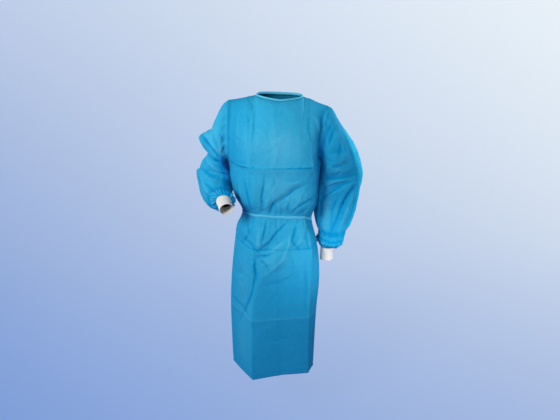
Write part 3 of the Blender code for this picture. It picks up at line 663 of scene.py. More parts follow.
# %% Sleeve rings
Ring = namedtuple("Ring", "inner_x inner_y inner_z outer_x outer_y outer_z deep face")
SLEEVE_LEFT = [Ring(*metres(row[:-1]), row[-1]) for row in (
    (163, 8, -245, 188, 0, -41, 74, 0), (168, 10, -255, 230, 4, -83, 86, 0),
    (164, 20, -286, 276, 12, -160, 90, 0), (165, 34, -328, 314, 22, -238, 90, 0),
    (158, 44, -372, 333, 30, -312, 87, 0), (151, 44, -420, 330, 30, -382, 83, 0),
    (145, 34, -472, 315, 22, -452, 78, 0), (149, 14, -522, 293, 10, -518, 70, 0),
    (158, -12, -563, 272, -8, -570, 61, 0), (160, -24, -590, 256, -18, -600, 48, 0),
    (162, -29, -602, 240, -24, -617, 36, 0), (169, -31, -610, 220, -27, -616, 23, 0),
)]
SLEEVE_RIGHT = [Ring(*metres(row[:-1]), row[-1]) for row in (
    (-201, 0, -245, -197, 0, -17, 74, 0), (-216, 6, -253, -237, 4, -56, 86, -4),
    (-219, 22, -268, -254, 18, -108, 88, -10), (-213, 46, -279, -278, 38, -158, 86, -12),
    (-205, 68, -294, -290, 52, -206, 82, -6), (-198, 86, -318, -296, 72, -258, 84, 4),
    (-194, 90, -362, -332, 80, -318, 88, 28), (-196, 60, -400, -330, 46, -370, 80, 54),
    (-198, 4, -402, -306, -12, -394, 65, 74), (-186, -58, -388, -280, -70, -401, 53, 79),
    (-179, -100, -380, -262, -108, -394, 43, 80), (-186, -122, -380, -246, -124, -382, 28, 78),
)]
print("sleeves:", len(SLEEVE_LEFT), "and", len(SLEEVE_RIGHT), "rings")

# %% Sleeve puckers
# places along the sleeve and round it in degrees, reaches before, after and round, height
Pucker = namedtuple("Pucker", "along around before after reach_around height")
PUCKERS_RIGHT = [Pucker(*row) for row in (
    (0.355, 178, 0.120, 0.055, 18, 0.046), (0.382, 176, 0.008, 0.010, 14, 0.006),
    (0.415, 180, 0.030, 0.030, 34, -0.004), (0.490, 182, 0.030, 0.050, 26, 0.006),
    (0.548, 182, 0.010, 0.070, 24, 0.011), (0.620, 240, 0.100, 0.100, 36, 0.006),
)]
PUCKERS_LEFT = [Pucker(*row) for row in (
    (0.060, 180, 0.060, 0.090, 50, 0.014), (0.26, 25, 0.16, 0.40, 44, 0.022),
    (0.24, 120, 0.05, 0.05, 50, -0.006), (0.40, 80, 0.06, 0.06, 50, 0.006),
    (0.52, 100, 0.05, 0.05, 60, -0.008), (0.70, 110, 0.12, 0.10, 22, 0.007),
    (0.78, 150, 0.14, 0.10, 20, -0.006),
)]
print("large puckers:", len(PUCKERS_RIGHT), "and", len(PUCKERS_LEFT))

# %% Sleeve tubes
SLEEVE_RINGS = 150
FULLNESS, GATHERED = 0.85, 0.75   # a boxy section, and where along the sleeve it turns round
ARMHOLE_BLEND = 0.22              # the armhole's shape fades over this share of the length
SleeveForm = namedtuple("SleeveForm", "points along around")


def sleeve_form(rings, puckers, loop, turn):
    """The smooth sleeve through its rings, from the armhole loop down."""
    places = np.linspace(0, 1, SLEEVE_RINGS + 1)
    table = curve(range(len(rings)), np.array(rings), places * (len(rings) - 1))
    inner, outer, deep, face = table[:, :3], table[:, 3:6], table[:, 6], np.radians(table[:, 7])
    reach = (outer - inner) / 2
    towards = np.stack([np.zeros_like(face), -np.cos(face), np.sin(face)], -1)
    towards -= reach * ((towards * reach).sum(-1) / (reach * reach).sum(-1))[:, None]
    towards = unit(towards)
    around = turn * 2 * np.pi * np.arange(len(loop)) / len(loop)
    along, around = np.meshgrid(places, around, indexing="ij")
    full = FULLNESS + (1 - FULLNESS) * smooth(GATHERED, 1, along)
    across, over = (np.sign(part) * abs(part)**full for part in (-np.cos(around), np.sin(around)))
    deeper = (towards * deep[:, None])[:, None] * over[..., None]
    spoke = reach[:, None] * across[..., None] + deeper
    height = np.zeros_like(around)
    for p in puckers:
        apart = (np.degrees(around) - p.around + 180) % 360 - 180
        off = along - p.along
        tent = np.maximum(0, 1 - abs(off) / np.where(off < 0, p.before, p.after))
        height += p.height * tent * np.exp(-(apart / p.reach_around)**2)
    stretch = 1 + height / np.linalg.norm(spoke, axis=-1)
    points = ((inner + outer) / 2)[:, None] + spoke * stretch[..., None]
    keep = (1 - smooth(0, ARMHOLE_BLEND, places))[:, None, None]
    moved = loop + (inner - inner[0])[:, None]
    return SleeveForm(points + (moved - points) * keep, along, around)


def own_normals(grid, closed):
    """The direction that the cloth faces at each point of a grid."""
    around = np.concatenate([grid, grid[:, :1]], axis=1) if closed else grid
    face = np.cross(around[1:, 1:] - around[:-1, :-1], around[1:, :-1] - around[:-1, 1:])
    total = np.zeros_like(around)
    for i, j in ((0, 0), (0, 1), (1, 0), (1, 1)):
        total[i:i + len(face), j:j + face.shape[1]] += face
    if closed:
        total[:, 0] += total[:, -1]
        total = total[:, :-1]
    return unit(total)


print("the neck's front faces", own_normals(front.grid, False)[-1, front.grid.shape[1] // 2])

# %% Sleeve creases
SLEEVE_CREASES = crease_rows(-1, [
    # the bent sleeve: pulled in at the elbow, with folds that run out of the crook
    (7, -4, (-258, -126), (-250, -165), (-232, -200), (-216, -236)),
    (12, -11, (-306, -160), (-270, -198), (-240, -236), (-214, -268)),
    (8, 5, (-292, -150), (-262, -180), (-236, -218)),
    (7, -3, (-229, -128), (-218, -148), (-206, -170)),
    (9, 6, (-245, -190), (-220, -215), (-206, -232)),
    (9, -9, (-300, -235), (-268, -256), (-232, -266)),
    (10, 8, (-300, -260), (-262, -290), (-225, -305)),
    (10, -6, (-322, -300), (-285, -318), (-240, -322)),
    (11, 6, (-330, -330), (-300, -365), (-262, -385)),
    (9, -5, (-312, -352), (-272, -350), (-240, -345)),
    (7, -5, (-290, -395), (-270, -370), (-250, -362)),
    # the hanging sleeve: a deep fold from elbow to cuff, shallow ones across the upper arm
    (10, -8, (160, -205), (172, -145), (196, -92)),
    (9, -6, (184, -180), (200, -130), (212, -105)),
    (11, 6, (234, -110), (262, -170), (290, -235), (308, -300)),
    (11, -5, (175, -213), (213, -199), (256, -203)),
    (9, -4, (172, -224), (196, -236), (222, -240)),
    (14, -8, (165, -318), (230, -312), (306, -300)),
    (8, 5, (172, -345), (215, -325), (262, -318)),
    (11, -8, (166, -400), (215, -362), (262, -332), (300, -322)),
    (8, -4, (172, -372), (186, -345)),
    (13, -11, (296, -335), (262, -400), (224, -500), (200, -545)),
    (10, 7, (306, -345), (276, -430), (236, -530)),
    (9, -6, (318, -360), (300, -440), (270, -520)),
    (9, -5, (232, -385), (214, -440), (205, -500), (202, -545)),
    (8, -4, (180, -250), (215, -262), (250, -256)), (8, 4, (190, -290), (230, -276), (262, -286)),
    (9, -4, (225, -130), (232, -190), (222, -230)),
    (14, 3, (186, -372), (178, -440), (180, -530)),
    (14, -6, (300, -300), (310, -380), (288, -470)),
    (16, 4, (200, -110), (240, -180), (262, -250)),
    (9, -8, (158, -566), (205, -582), (262, -574)),
    (10, -3, (172, -330), (164, -430), (162, -530)),
]) + crease_rows(1, [
    # their backs
    (12, -7, (-212, -90), (-240, -150), (-290, -180)),
    (11, -7, (-208, -200), (-250, -230), (-292, -226)),
    (12, 6, (-215, -270), (-260, -290), (-318, -282)),
    (12, -6, (-220, -330), (-270, -340), (-325, -330)),
    (14, -6, (190, -130), (240, -200), (300, -240)),
    (13, -6, (175, -290), (235, -310), (310, -290)),
    (13, -7, (172, -400), (235, -370), (318, -360)),
    (12, -8, (290, -390), (250, -470), (222, -550)),
    (13, 6, (200, -430), (196, -500), (204, -570)),
    (9, -7, (160, -572), (210, -590), (262, -580)),
])
# Painted shade: a deeper blue painted in the crook of the bent arm and beside the hanging sleeve's
# inner folds, where shade falls.
PAINTED_SHADE_FOLDS = [   # cloth in three and four layers: path, reach, how much deeper its blue is
    (((-0.236, -0.240), (-0.216, -0.285), (-0.206, -0.335)), 0.019, 1.8),
    (((0.158, -0.190), (0.162, -0.260), (0.160, -0.340)), 0.008, 0.7),
    (((0.160, -0.205), (0.172, -0.145), (0.188, -0.105)), 0.007, 0.5),
]
for side in (-1, 1):
    SLEEVE_CREASES += scattered(side, (-0.33, -0.40), (-0.19, -0.04), 34, 15 + side)
    SLEEVE_CREASES += scattered(side, (0.16, -0.58), (0.33, -0.06), 46, 18 + side)
print(len(SLEEVE_CREASES), "creases on the sleeves")

# %% Sleeve folds and gathers
SLEEVE_CRUMPLE = 1.8                # against the panels' crumples
SLEEVE_FACET = Crumple(0.047, 0.0021, 0)
SLEEVE_RADIUS, SLEEVE_LENGTH = 0.075, 0.60
CUFF_PLEAT, HEAD_PLEAT = 0.0028, 0.0014   # heights of the gathers at both ends
PINCH_REACH, BULGE_REACH = 0.022, 0.040   # along the sleeve, as a share of its length


def gather_waves(around, seed):
    """Uneven pleats round a sleeve's end."""
    shifted = around + 0.25 * np.sin(2 * around + seed) + 0.12 * np.sin(5 * around + 2 * seed)
    return np.sin(15 * shifted) + 0.35 * np.sin(23 * shifted + seed)


Ruffle = namedtuple("Ruffle", "pinch bulge pinch_depth bulge_height")  # places along, then metres


def sleeve(form, ruffle, seed):
    """The folds, crumples and gathers on a smooth sleeve, and its painted lines of shade and
    highlight.
    """
    normal = own_normals(form.points, True)
    plan = form.points[..., [0, 2]]
    cloth = np.stack([abs(form.around) * SLEEVE_RADIUS, form.along * SLEEVE_LENGTH], -1)
    height, line = sum(crease_height(plan, c) * smooth(-0.10, 0.25, c.side * normal[..., 1])
                       for c in SLEEVE_CREASES)
    line = np.clip(line, -0.8, 0.8)
    # Painted shade along the deep folds, on the cloth that faces forward.
    to_front = smooth(-0.3, 0.1, -normal[..., 1])
    for path, reach, depth in PAINTED_SHADE_FOLDS:
        line -= depth * np.exp(-(along_path(plan, path)[0] / reach)**2) * to_front
    underarm = np.minimum(abs(form.around), 2 * np.pi - abs(form.around))
    paper = SLEEVE_CRUMPLE * crinkle(form.points, cloth, seed)
    paper = paper + SLEEVE_FACET.height * facets(cloth @ TURN.T, SLEEVE_FACET.size, seed + 9)
    height += paper * smooth(0, 0.25, underarm)
    waves = gather_waves(form.around, seed)
    pinch = np.exp(-((form.along - ruffle.pinch) / PINCH_REACH)**2)
    bulge = np.exp(-((form.along - ruffle.bulge) / BULGE_REACH)**2)
    height += (-ruffle.pinch_depth * pinch + ruffle.bulge_height * bulge) * (1 + 0.25 * waves)
    gather = smooth(ruffle.pinch, 0.985, form.along)
    height += CUFF_PLEAT * gather * waves
    # Painted shade where the cuff pinches the sleeve, and painted shade and highlight across the
    # gathers.
    line += -0.7 * pinch + 0.35 * gather * waves
    head = smooth(0.004, 0.03, form.along) * (1 - smooth(0.03, 0.16, form.along))
    height += HEAD_PLEAT * head * np.sin(17 * form.around + 1.3 * np.sin(3 * form.around))
    ends = smooth(0, 0.05, form.along) * (1 - smooth(0.975, 1.0, form.along))
    height *= ends
    return form.points + normal * height[..., None], height, line * ends


print(len(PAINTED_SHADE_FOLDS), "deep folds")

# %% The hanging sleeve leans on the body
LEAN_GAP, LEAN_DEPTH = 0.0008, 0.10   # from the body's cloth, and how far forward and back


def read_grid(grid, row, column):
    """Places between a grid's points."""
    i = np.clip(np.floor(row).astype(int), 0, grid.shape[0] - 2)
    j = np.clip(np.floor(column).astype(int), 0, grid.shape[1] - 2)
    u, v = (row - i)[..., None], (column - j)[..., None]
    return ((grid[i, j] * (1 - v) + grid[i, j + 1] * v) * (1 - u)
            + (grid[i + 1, j] * (1 - v) + grid[i + 1, j + 1] * v) * u)


def lean_on_body(grid):
    """Cloth of the left sleeve can't pass the body's side, so it lies against it."""
    y = np.linspace(-LEAN_DEPTH, LEAN_DEPTH, 81)
    side = np.hstack([front.grid[:ARMPIT_ROW, -SIDE_COLUMNS - 1:],
                      over.grid[:ARMPIT_ROW, 1:SIDE_COLUMNS]])
    reach = np.array([np.interp(y, line[:, 1], line[:, 0], left=0, right=0) for line in side])
    heights = side[:, SIDE_COLUMNS, 2]
    row = np.interp(grid[..., 2], heights, np.arange(len(heights)))
    column = np.interp(grid[..., 1], y, np.arange(len(y)))
    body = read_grid(reach[..., None], row, column)[..., 0] + LEAN_GAP
    inside = (grid[..., 2] < ARMPIT) & (abs(grid[..., 1]) < LEAN_DEPTH)
    leaned = grid.copy()
    leaned[..., 0] = np.where(inside, np.maximum(grid[..., 0], body), grid[..., 0])
    return leaned


print("between sleeve and body:", 1000 * LEAN_GAP, "mm")

# %% Sleeve grids
up, down = slice(ARMPIT_ROW, None), slice(-2, ARMPIT_ROW, -1)
loop_right = np.vstack([front.grid[up, 0], under.grid[down, -1]])
loop_left = np.vstack([over.grid[up, 0], front.grid[down, -1]])
form_right = sleeve_form(SLEEVE_RIGHT, PUCKERS_RIGHT, loop_right, 1)
form_left = sleeve_form(SLEEVE_LEFT, PUCKERS_LEFT, loop_left, -1)
right_grid, right_height, right_line = sleeve(form_right, Ruffle(0.80, 0.90, 0.004, 0.005), 21)
left_grid, left_height, left_line = sleeve(form_left, Ruffle(0.690, 0.80, 0.007, 0.008), 22)
left_grid = lean_on_body(left_grid)
print("sleeve grids:", right_grid.shape[:2], left_grid.shape[:2])

# %% [markdown]
# ## Cuffs
# The cuffs are rib knit: columns of stitches that stand out and sink in by turns, so the tube
# stretches over a hand and closes on the wrist. The ribs are real geometry here, because their
# outline shows at the edge, and the stitches are left to the material.

# %% Cuff grids
Cuff = namedtuple("Cuff", "x y z across deep")   # the open end's centre and half sizes
CUFF_LEFT = Cuff(0.194, -0.035, -0.672, 0.0280, 0.0235)
CUFF_RIGHT = Cuff(-0.202, -0.172, -0.394, 0.0285, 0.0250)
RIBS, RIB_HEIGHT, RIB_COLUMNS = 44, 0.0005, 6
CUFF_ROWS, CUFF_COLUMNS = 40, RIBS * RIB_COLUMNS
CUFF_WAIST, CUFF_LIP = 0.0010, 0.0006   # how much narrower its middle and its end are


def cuff_grid(last_ring, cuff):
    """Rings from the sleeve's end to the open end, with ribs."""
    share = np.arange(CUFF_COLUMNS) * len(last_ring) / CUFF_COLUMNS
    ring = np.vstack([last_ring, last_ring[:1]])
    loop = np.stack([np.interp(share, np.arange(len(ring)), ring[:, k]) for k in range(3)], -1)
    centre = loop.mean(axis=0)
    end = np.array([cuff.x, cuff.y, cuff.z])
    axis = (end - centre) / np.linalg.norm(end - centre)
    spoke = loop - centre
    level = spoke - axis * (spoke @ axis)[:, None]
    slim = (cuff.across + cuff.deep) / 2 / np.linalg.norm(level, axis=1).mean()
    rib = RIB_HEIGHT * np.cos(np.arange(CUFF_COLUMNS) * 2 * np.pi / RIB_COLUMNS)
    rows = []
    for t in np.linspace(0, 1, CUFF_ROWS + 1):
        snug = CUFF_WAIST * np.sin(np.pi * t) + CUFF_LIP * smooth(0.9, 1, t)
        place = centre + (end - centre) * t + spoke * (1 - t) + level * slim * t
        rows.append(place - unit(level) * (snug + RIB_HEIGHT - rib * smooth(0, 0.1, t))[:, None])
    return np.array(rows)


cuff_right_grid = cuff_grid(right_grid[-1], CUFF_RIGHT)
cuff_left_grid = cuff_grid(left_grid[-1], CUFF_LEFT)
print("cuffs:", RIBS, "ribs,", round(1000 * passed(cuff_left_grid[:, 0])[-1]), "mm long")

# %% [markdown]
# ## Tapes
# The neckline is bound with a folded strip of the same non-woven in a paler blue, and a narrow
# tape is the belt. Both follow the panels' edges and faces, so their places come from the same
# grids, moved out. A curve with a bevel would be quicker, but it wouldn't lie on the cloth.

# %% Neck binding
BINDING_HEIGHT, BINDING_LEAN = 0.0068, 2.0   # its height, and how much it leans to the neck
BINDING_STEP, BINDING_RIPPLE = 0.003, 0.00035
BINDING_PROFILE = ((0.0000, 0.00), (0.0002, 0.25), (0.0002, 0.80), (0.0000, 0.95), (-0.0006, 1.0),
                   (-0.0012, 0.95), (-0.0014, 0.80), (-0.0014, 0.25), (-0.0014, 0.10))
NECK_COLUMN = SIDE_COLUMNS + MIDDLE_COLUMNS // 3


def even_steps(line, step):
    """A line through the same places, with even steps."""
    places = passed(line)
    at = np.linspace(0, places[-1], int(places[-1] / step))
    return np.stack([np.interp(at, places, line[:, k]) for k in range(3)], -1)


def binding_grid():
    """The folded tape over the neckline: up its outer face, over the edge and down inside."""
    line = np.vstack([under.grid[-1, :-NECK_COLUMN], front.grid[-1, NECK_COLUMN + 1:-NECK_COLUMN],
                      over.grid[-1, NECK_COLUMN + 1:]])
    line = even_steps(line, BINDING_STEP)
    upright = unit(np.array([0, 0, 1]) - line * [1, 1, 0] * BINDING_LEAN)
    run = unit(np.gradient(line, axis=0))
    out = np.cross(run, upright)
    out *= np.sign((out * line * [1, 1, 0]).sum(-1, keepdims=True))
    count = np.arange(len(line))
    ripple = BINDING_RIPPLE * np.sin(count * 0.9 + 2 * np.sin(count * 0.13))
    return np.array([line + out * (push + ripple * np.sin(np.pi * min(rise, 1)))[:, None]
                     + upright * BINDING_HEIGHT * rise for push, rise in BINDING_PROFILE])


binding = binding_grid()
print("neck binding:", round(1000 * passed(binding[0])[-1]), "mm round")

# %% Belt
BELT_WIDTH, BELT_WAVE = 0.010, 0.0006
BELT_PROFILE = ((0.0, 0.0009), (0.08, 0.0014), (0.5, 0.0016), (0.92, 0.0014), (1.0, 0.0009))
BELT_PARTS = ((front, SIDE_RIGHT, SIDE_LEFT), (over, SIDE_LEFT, BACK + LAP_REACH),
              (under, BACK + LAP_REACH, ROUND))


def belt_line(share, out):
    """The belt's place all round at a share of its width."""
    height = WAIST + (share - 0.5) * BELT_WIDTH
    row = (height - HEM) / (ARMPIT - HEM)
    lines = []
    for part, first, last in BELT_PARTS:
        station = part.station[0]
        keep = np.flatnonzero((station > first - HAIR) & (station < last + HAIR))
        at, move = (np.array([[np.interp(row, part.row[:, 0], grid[:, j, k]) for k in range(3)]
                              for j in keep]) for grid in (part.grid, part.normal))
        line = at + unit(move) * out
        lines.append(line if last == BACK + LAP_REACH else line[:-1])   # the lap's edge is a step
    return np.vstack(lines)


belt = np.array([belt_line(share, out) for share, out in BELT_PROFILE])
count = np.arange(belt.shape[1])
belt[..., 2] += BELT_WAVE * np.sin(count * 0.31 + 1.5 * np.sin(count * 0.07))
print("belt:", round(1000 * passed(belt[2])[-1]), "mm round")

# %% [markdown]
# ## Ties and knots
# The gown closes behind. The neck tape and the belt are each tied in one knot there, and leave two
# short free ends. An end lies flat on the lapping back, so it is made from that panel's points, a
# little further out. A knot is one tape led through its own loop and pulled tight, so a flat band
# is swept along a small trefoil, the path that a single overhand knot takes.

# %% Tie ends
TIE_WIDTH, TIE_CLEAR, TIE_START = 0.0105, 0.0012, 0.35   # TIE_START: how far apart they begin
TIE_STEP, TIE_RIPPLE, TIE_CURL = 0.0025, 0.0004, 0.0012
TIE_HIDDEN, TIE_THIN = 0.003, 0.0003     # how far it goes on under its knot; its edges lie lower
KNOT = (0.017, 0.009, 0.013)   # width, depth and height
BACK_COLUMN = SIDE_COLUMNS + MIDDLE_COLUMNS
WAIST_KNOT_ROW = BELT_ROW + ROW_COUNTS[3] / 2
NECK_KNOT_ROW = ARMPIT_ROW + ARMHOLE_STEPS * (1 - 0.5 / 9)   # amid the last of the solid's 9 rows
TieEnd = namedtuple("TieEnd", "name knot_row spread length")
TIE_ENDS = [
    TieEnd("waist_tie_end_right", WAIST_KNOT_ROW, 0.7, 0.140),
    TieEnd("waist_tie_end_left", WAIST_KNOT_ROW, -1.1, 0.125),
    TieEnd("neck_tie_end_right", NECK_KNOT_ROW, 0.9, 0.150),
    TieEnd("neck_tie_end_left", NECK_KNOT_ROW, -0.9, 0.130),
]


def tie_grid(end):
    """A free end that lies on the back panel, with its width across in five points."""
    middle = over.grid[:, BACK_COLUMN]
    rows, heights = np.arange(len(middle)), passed(middle)
    upper = np.interp(end.knot_row, rows, heights) - KNOT[2] / 2 + TIE_HIDDEN
    t = np.linspace(0, 1, int(end.length / TIE_STEP))
    row = np.interp(upper - end.length * (1 - t), heights, rows)
    apart = TIE_START * t + (1 + TIE_START) * (1 - t)
    column = BACK_COLUMN + end.spread * MIDDLE_COLUMNS / 6 * apart
    spacing = np.linalg.norm(np.diff(over.grid, axis=1), axis=-1)[..., None]
    half = TIE_WIDTH / 2 / read_grid(spacing, row, column)[:, 0]
    layers = []
    for share in (-1, -0.9, 0, 0.9, 1):
        ripple = TIE_RIPPLE * (1 - abs(share)) * np.sin(14 * t + share)
        lift = TIE_CLEAR - TIE_THIN * (abs(share) == 1) + ripple
        lift = lift + TIE_CURL * smooth(0.9, 1, t)
        place = column + half * share * (1 - 0.25 * smooth(0.93, 1, t))
        out = read_grid(over.normal, row, place) * lift[:, None]
        layers.append(read_grid(over.grid, row, place) + out)
    return np.array(layers).swapaxes(0, 1)


ties = {end.name: tie_grid(end) for end in TIE_ENDS}
print("tie ends:", {name: grid.shape[:2] for name, grid in ties.items()})

# %% Knots
BAND_HALF, BAND_THICK, PLEAT = 0.0025, 0.0017, 0.18   # the band's half sizes, and its pleats
BAND_ROOM = (0.0024, 0.0022, 0.0018)   # the path stays this far inside the knot's size


def knot_grid(spot, out):
    """A tape tied in an overhand knot: a flat band swept along a trefoil, pulled tight."""
    t = np.linspace(0, 2 * np.pi, 97)[:-1]
    size = np.array([KNOT[k] / 2 - room for k, room in zip((0, 2, 1), BAND_ROOM)])
    path = np.stack([(np.sin(t) + 2 * np.sin(2 * t)) / 3, (np.cos(t) - 2 * np.cos(2 * t)) / 3,
                     -np.sin(3 * t)], -1) * size
    run = unit(np.roll(path, -1, 0) - np.roll(path, 1, 0))
    side = unit(np.cross(run, [0, 0, 1]))
    lift = np.cross(side, run)
    turn = np.linspace(0, 2 * np.pi, 13)[:-1]
    pleat = 1 + PLEAT * np.cos(3 * turn)[None, :] * np.cos(5 * t)[:, None]
    ring = (side[:, None] * (BAND_HALF * np.cos(turn) * pleat)[..., None]
            + lift[:, None] * (BAND_THICK * np.sin(turn) * pleat)[..., None])
    local = path[:, None] + ring
    out = unit(np.array(out))
    across = unit(np.cross([0, 0, 1], out))
    up = np.cross(out, across)
    centre = np.array(spot) + out * KNOT[1] / 2
    return centre + local[..., :1] * across + local[..., 1:2] * up + local[..., 2:] * out


waist_out = over.normal[int(WAIST_KNOT_ROW), BACK_COLUMN]
waist_knot = knot_grid(belt[2, (front.grid.shape[1] - 1) + BACK_COLUMN], waist_out)
neck_place = np.array(NECK_KNOT_ROW), np.array(float(BACK_COLUMN))
neck_knot = knot_grid(read_grid(over.grid, *neck_place), read_grid(over.normal, *neck_place))
print("knots:", waist_knot.shape[:2], "and", neck_knot.shape[:2])

# %% [markdown]
# ## From grids to sheets
# Each grid becomes a mesh of four-sided faces. A Solidify modifier then gives the sheet its
# thickness, inwards, so that its outer face stays where the form says. The mesh also carries two
# numbers for each point, which the materials read. The first says how deep it lies in a fold or
# how high it stands on a ridge, with the creases' lines and some listed places, and the material
# turns it into painted shade and painted highlight. The second says where cloth lies in two layers,
# as at a hem or a seam, and also carries painted shade and the painted glow of an empty sleeve.
# Painted textures could say it too, but numbers need no image.

# %% Sheet builder
THICKNESS = 0.0005   # drawn for 0.3 mm cloth
FACE_CORNERS = ((0, 0), (0, 1), (1, 1), (1, 0))


def sheet_object(name, grid, closed=False, ring=False, trough=None, double=None,
                 thickness=THICKNESS):
    """closed joins the last column to the first, ring joins the last row to the first."""
    rows, columns = grid.shape[:2]
    i, j = np.meshgrid(np.arange(rows if ring else rows - 1),
                       np.arange(columns if closed else columns - 1), indexing="ij")
    faces = np.stack([(i + a) % rows * columns + (j + b) % columns for a, b in FACE_CORNERS], -1)
    faces = faces.reshape(-1, 4)
    mesh = bpy.data.meshes.new(name)
    mesh.from_pydata(grid.reshape(-1, 3).tolist(), [], faces.tolist())
    mesh.polygons.foreach_set("use_smooth", [True] * len(mesh.polygons))
    wide = np.linalg.norm(np.diff(grid, axis=1, append=grid[:, :1]), axis=-1)
    tall = np.linalg.norm(np.diff(grid, axis=0, append=grid[:1]), axis=-1)
    u = np.concatenate([[0], np.median(wide, axis=0).cumsum()])
    v = np.concatenate([[0], np.median(tall, axis=1).cumsum()])
    places = np.stack([np.stack([u[j + b], v[i + a]], -1) for a, b in FACE_CORNERS], -2)
    mesh.uv_layers.new(name="cut").data.foreach_set("uv", places.astype(np.float32).ravel())
    for label, values in (("trough", trough), ("double", double)):
        values = np.zeros((rows, columns)) if values is None else values
        attribute = mesh.attributes.new(label, "FLOAT", "POINT")
        attribute.data.foreach_set("value", values.astype(np.float32).ravel())
    piece = bpy.data.objects.new(name, mesh)
    bpy.context.scene.collection.objects.link(piece)
    if thickness:
        solid = piece.modifiers.new("thickness", "SOLIDIFY")
        solid.thickness, solid.offset, solid.use_even_offset = thickness, -1, False
    return piece


def layer_area(grid, closed=False):
    """One side's area in square metres."""
    g = np.concatenate([grid, grid[:, :1]], axis=1) if closed else grid
    cross = np.cross(g[1:, 1:] - g[:-1, :-1], g[1:, :-1] - g[:-1, 1:])
    return float(np.linalg.norm(cross, axis=-1).sum() / 2)


print("a panel's front, one side:", round(layer_area(front.grid), 3), "m2")

# %% Painted shade in the folds and painted highlight on the ridges
# Painted highlight: the cloth is painted paler round these places on the front and the sleeves,
# where the light falls.
PAINTED_HIGHLIGHTS = [   # drawn tight over the wearer's form, it looks paler: x, z, sizes, strength
    (0.00, -0.165, 0.080, 0.070, 0.75), (-0.155, -0.80, 0.030, 0.20, 0.60),
    (0.00, -0.330, 0.075, 0.075, 0.55), (-0.02, -0.62, 0.05, 0.05, 0.25),
    (0.190, -0.470, 0.019, 0.060, 1.10), (0.187, -0.360, 0.020, 0.030, 0.60),
    (0.225, -0.260, 0.030, 0.040, 0.35), (-0.168, -1.05, 0.025, 0.10, 0.55),
    (-0.125, -0.150, 0.035, 0.060, 0.40), (-0.262, -0.130, 0.030, 0.040, 0.40),
    (-0.232, -0.215, 0.024, 0.050, 0.80),
]
RELIEF_HEIGHT = 0.0040              # this far above the cloth around it is a full ridge
HEIGHT_TONE, LINE_TONE = 0.36, 1.15   # how much heights and crease lines count


def painted_highlight(grid):
    """Painted highlight: how much paler the cloth is painted round each listed place."""
    return sum(much * np.exp(-((grid[..., 0] - x) / wide)**2 - ((grid[..., 2] - z) / tall)**2)
               for x, z, wide, tall, much in PAINTED_HIGHLIGHTS)


def shade_and_highlight_tone(height, line):
    """From -2 in a fold to 1 on a ridge, for painted shade and highlight: the height against the
    cloth around it, and the painted lines.
    """
    around = height.copy()
    for _ in range(6):
        for axis in (0, 1):
            padded = np.pad(around, [(2, 2) if k == axis else (0, 0) for k in (0, 1)], mode="edge")
            n = height.shape[axis]
            around = sum(np.take(padded, np.arange(k, k + n), axis) for k in range(5)) / 5
    ridge = np.clip((height - around) / RELIEF_HEIGHT, -1, 1)
    return np.clip(HEIGHT_TONE * ridge + LINE_TONE * line, -2, 1)


deep_share = (shade_and_highlight_tone(front.height, front.line) < -0.5).mean()
print("deep places on the front:", round(100 * deep_share), "%")

# %% Two layers of cloth, and painted shade and glow
SEWN = 0.7           # tone of a hem or a seam allowance
# Painted shade: a deeper blue at the sides and on the lower skirt.
SIDE_SHADE = 0.6      # the sides, where the front is seen against the back
LOW_SKIRT_SHADE = 0.50      # the skirt where it stands clear of the legs
# Painted shade on the hanging sleeve, and a painted glow on its empty outer side.
UPPER_SLEEVE_SHADE, EMPTY_SLEEVE_GLOW = 0.65, 1.75   # the hanging sleeve on its arm, and its empty outer side
EMPTY_EDGE = ((0.234, -0.110), (0.262, -0.170), (0.308, -0.300), (0.290, -0.420))


def panel_layers_and_painted_light(part, edges):
    """Two layers at a panel's hem and at its sewn edges at some stations, and painted shade at its
    sides and on the lower skirt.
    """
    x, z = part.grid[..., 0], part.grid[..., 2]
    hem = 1 - smooth(0.016, 0.019, z - HEM)
    seam = np.min([abs(part.station - edge) for edge in edges], axis=0) * STATION_LENGTH
    sewn = SEWN * np.maximum(hem, 1 - smooth(0.012, 0.020, seam))
    side = SIDE_SHADE * (1 - smooth(0.05, 0.16, seam))
    low = LOW_SKIRT_SHADE * smooth(-0.60, -0.76, z) * smooth(-0.135, -0.105, x)
    return np.maximum(np.maximum(sewn, side), low)


def sleeve_layers_and_painted_light(grid, hanging):
    """The same on a sleeve: two layers at its ends, painted shade over the hanging one with a
    painted glow on its empty outer side, and painted shade on the bent one below its upper arm.
    """
    along = np.linspace(0, 1, len(grid))[:, None] * np.ones(grid.shape[1])
    sewn = SEWN * np.maximum(1 - smooth(0.012, 0.020, along), smooth(0.975, 0.985, along))
    if not hanging:
        # Painted shade: a deeper blue along the bent sleeve below its upper arm.
        return np.maximum(sewn, 0.15 + 0.25 * smooth(0.15, 0.40, along))
    outer = along_path(grid[..., [0, 2]], EMPTY_EDGE)[0]
    soft = 0.004 + 0.026 * smooth(-0.3, 0.1, own_normals(grid, True)[..., 1])
    empty = smooth(-soft, soft, outer)
    return np.maximum(sewn, UPPER_SLEEVE_SHADE + (EMPTY_SLEEVE_GLOW - UPPER_SLEEVE_SHADE) * empty)


print("hanging sleeve's mean tone:", sleeve_layers_and_painted_light(left_grid, True).mean().round(2))

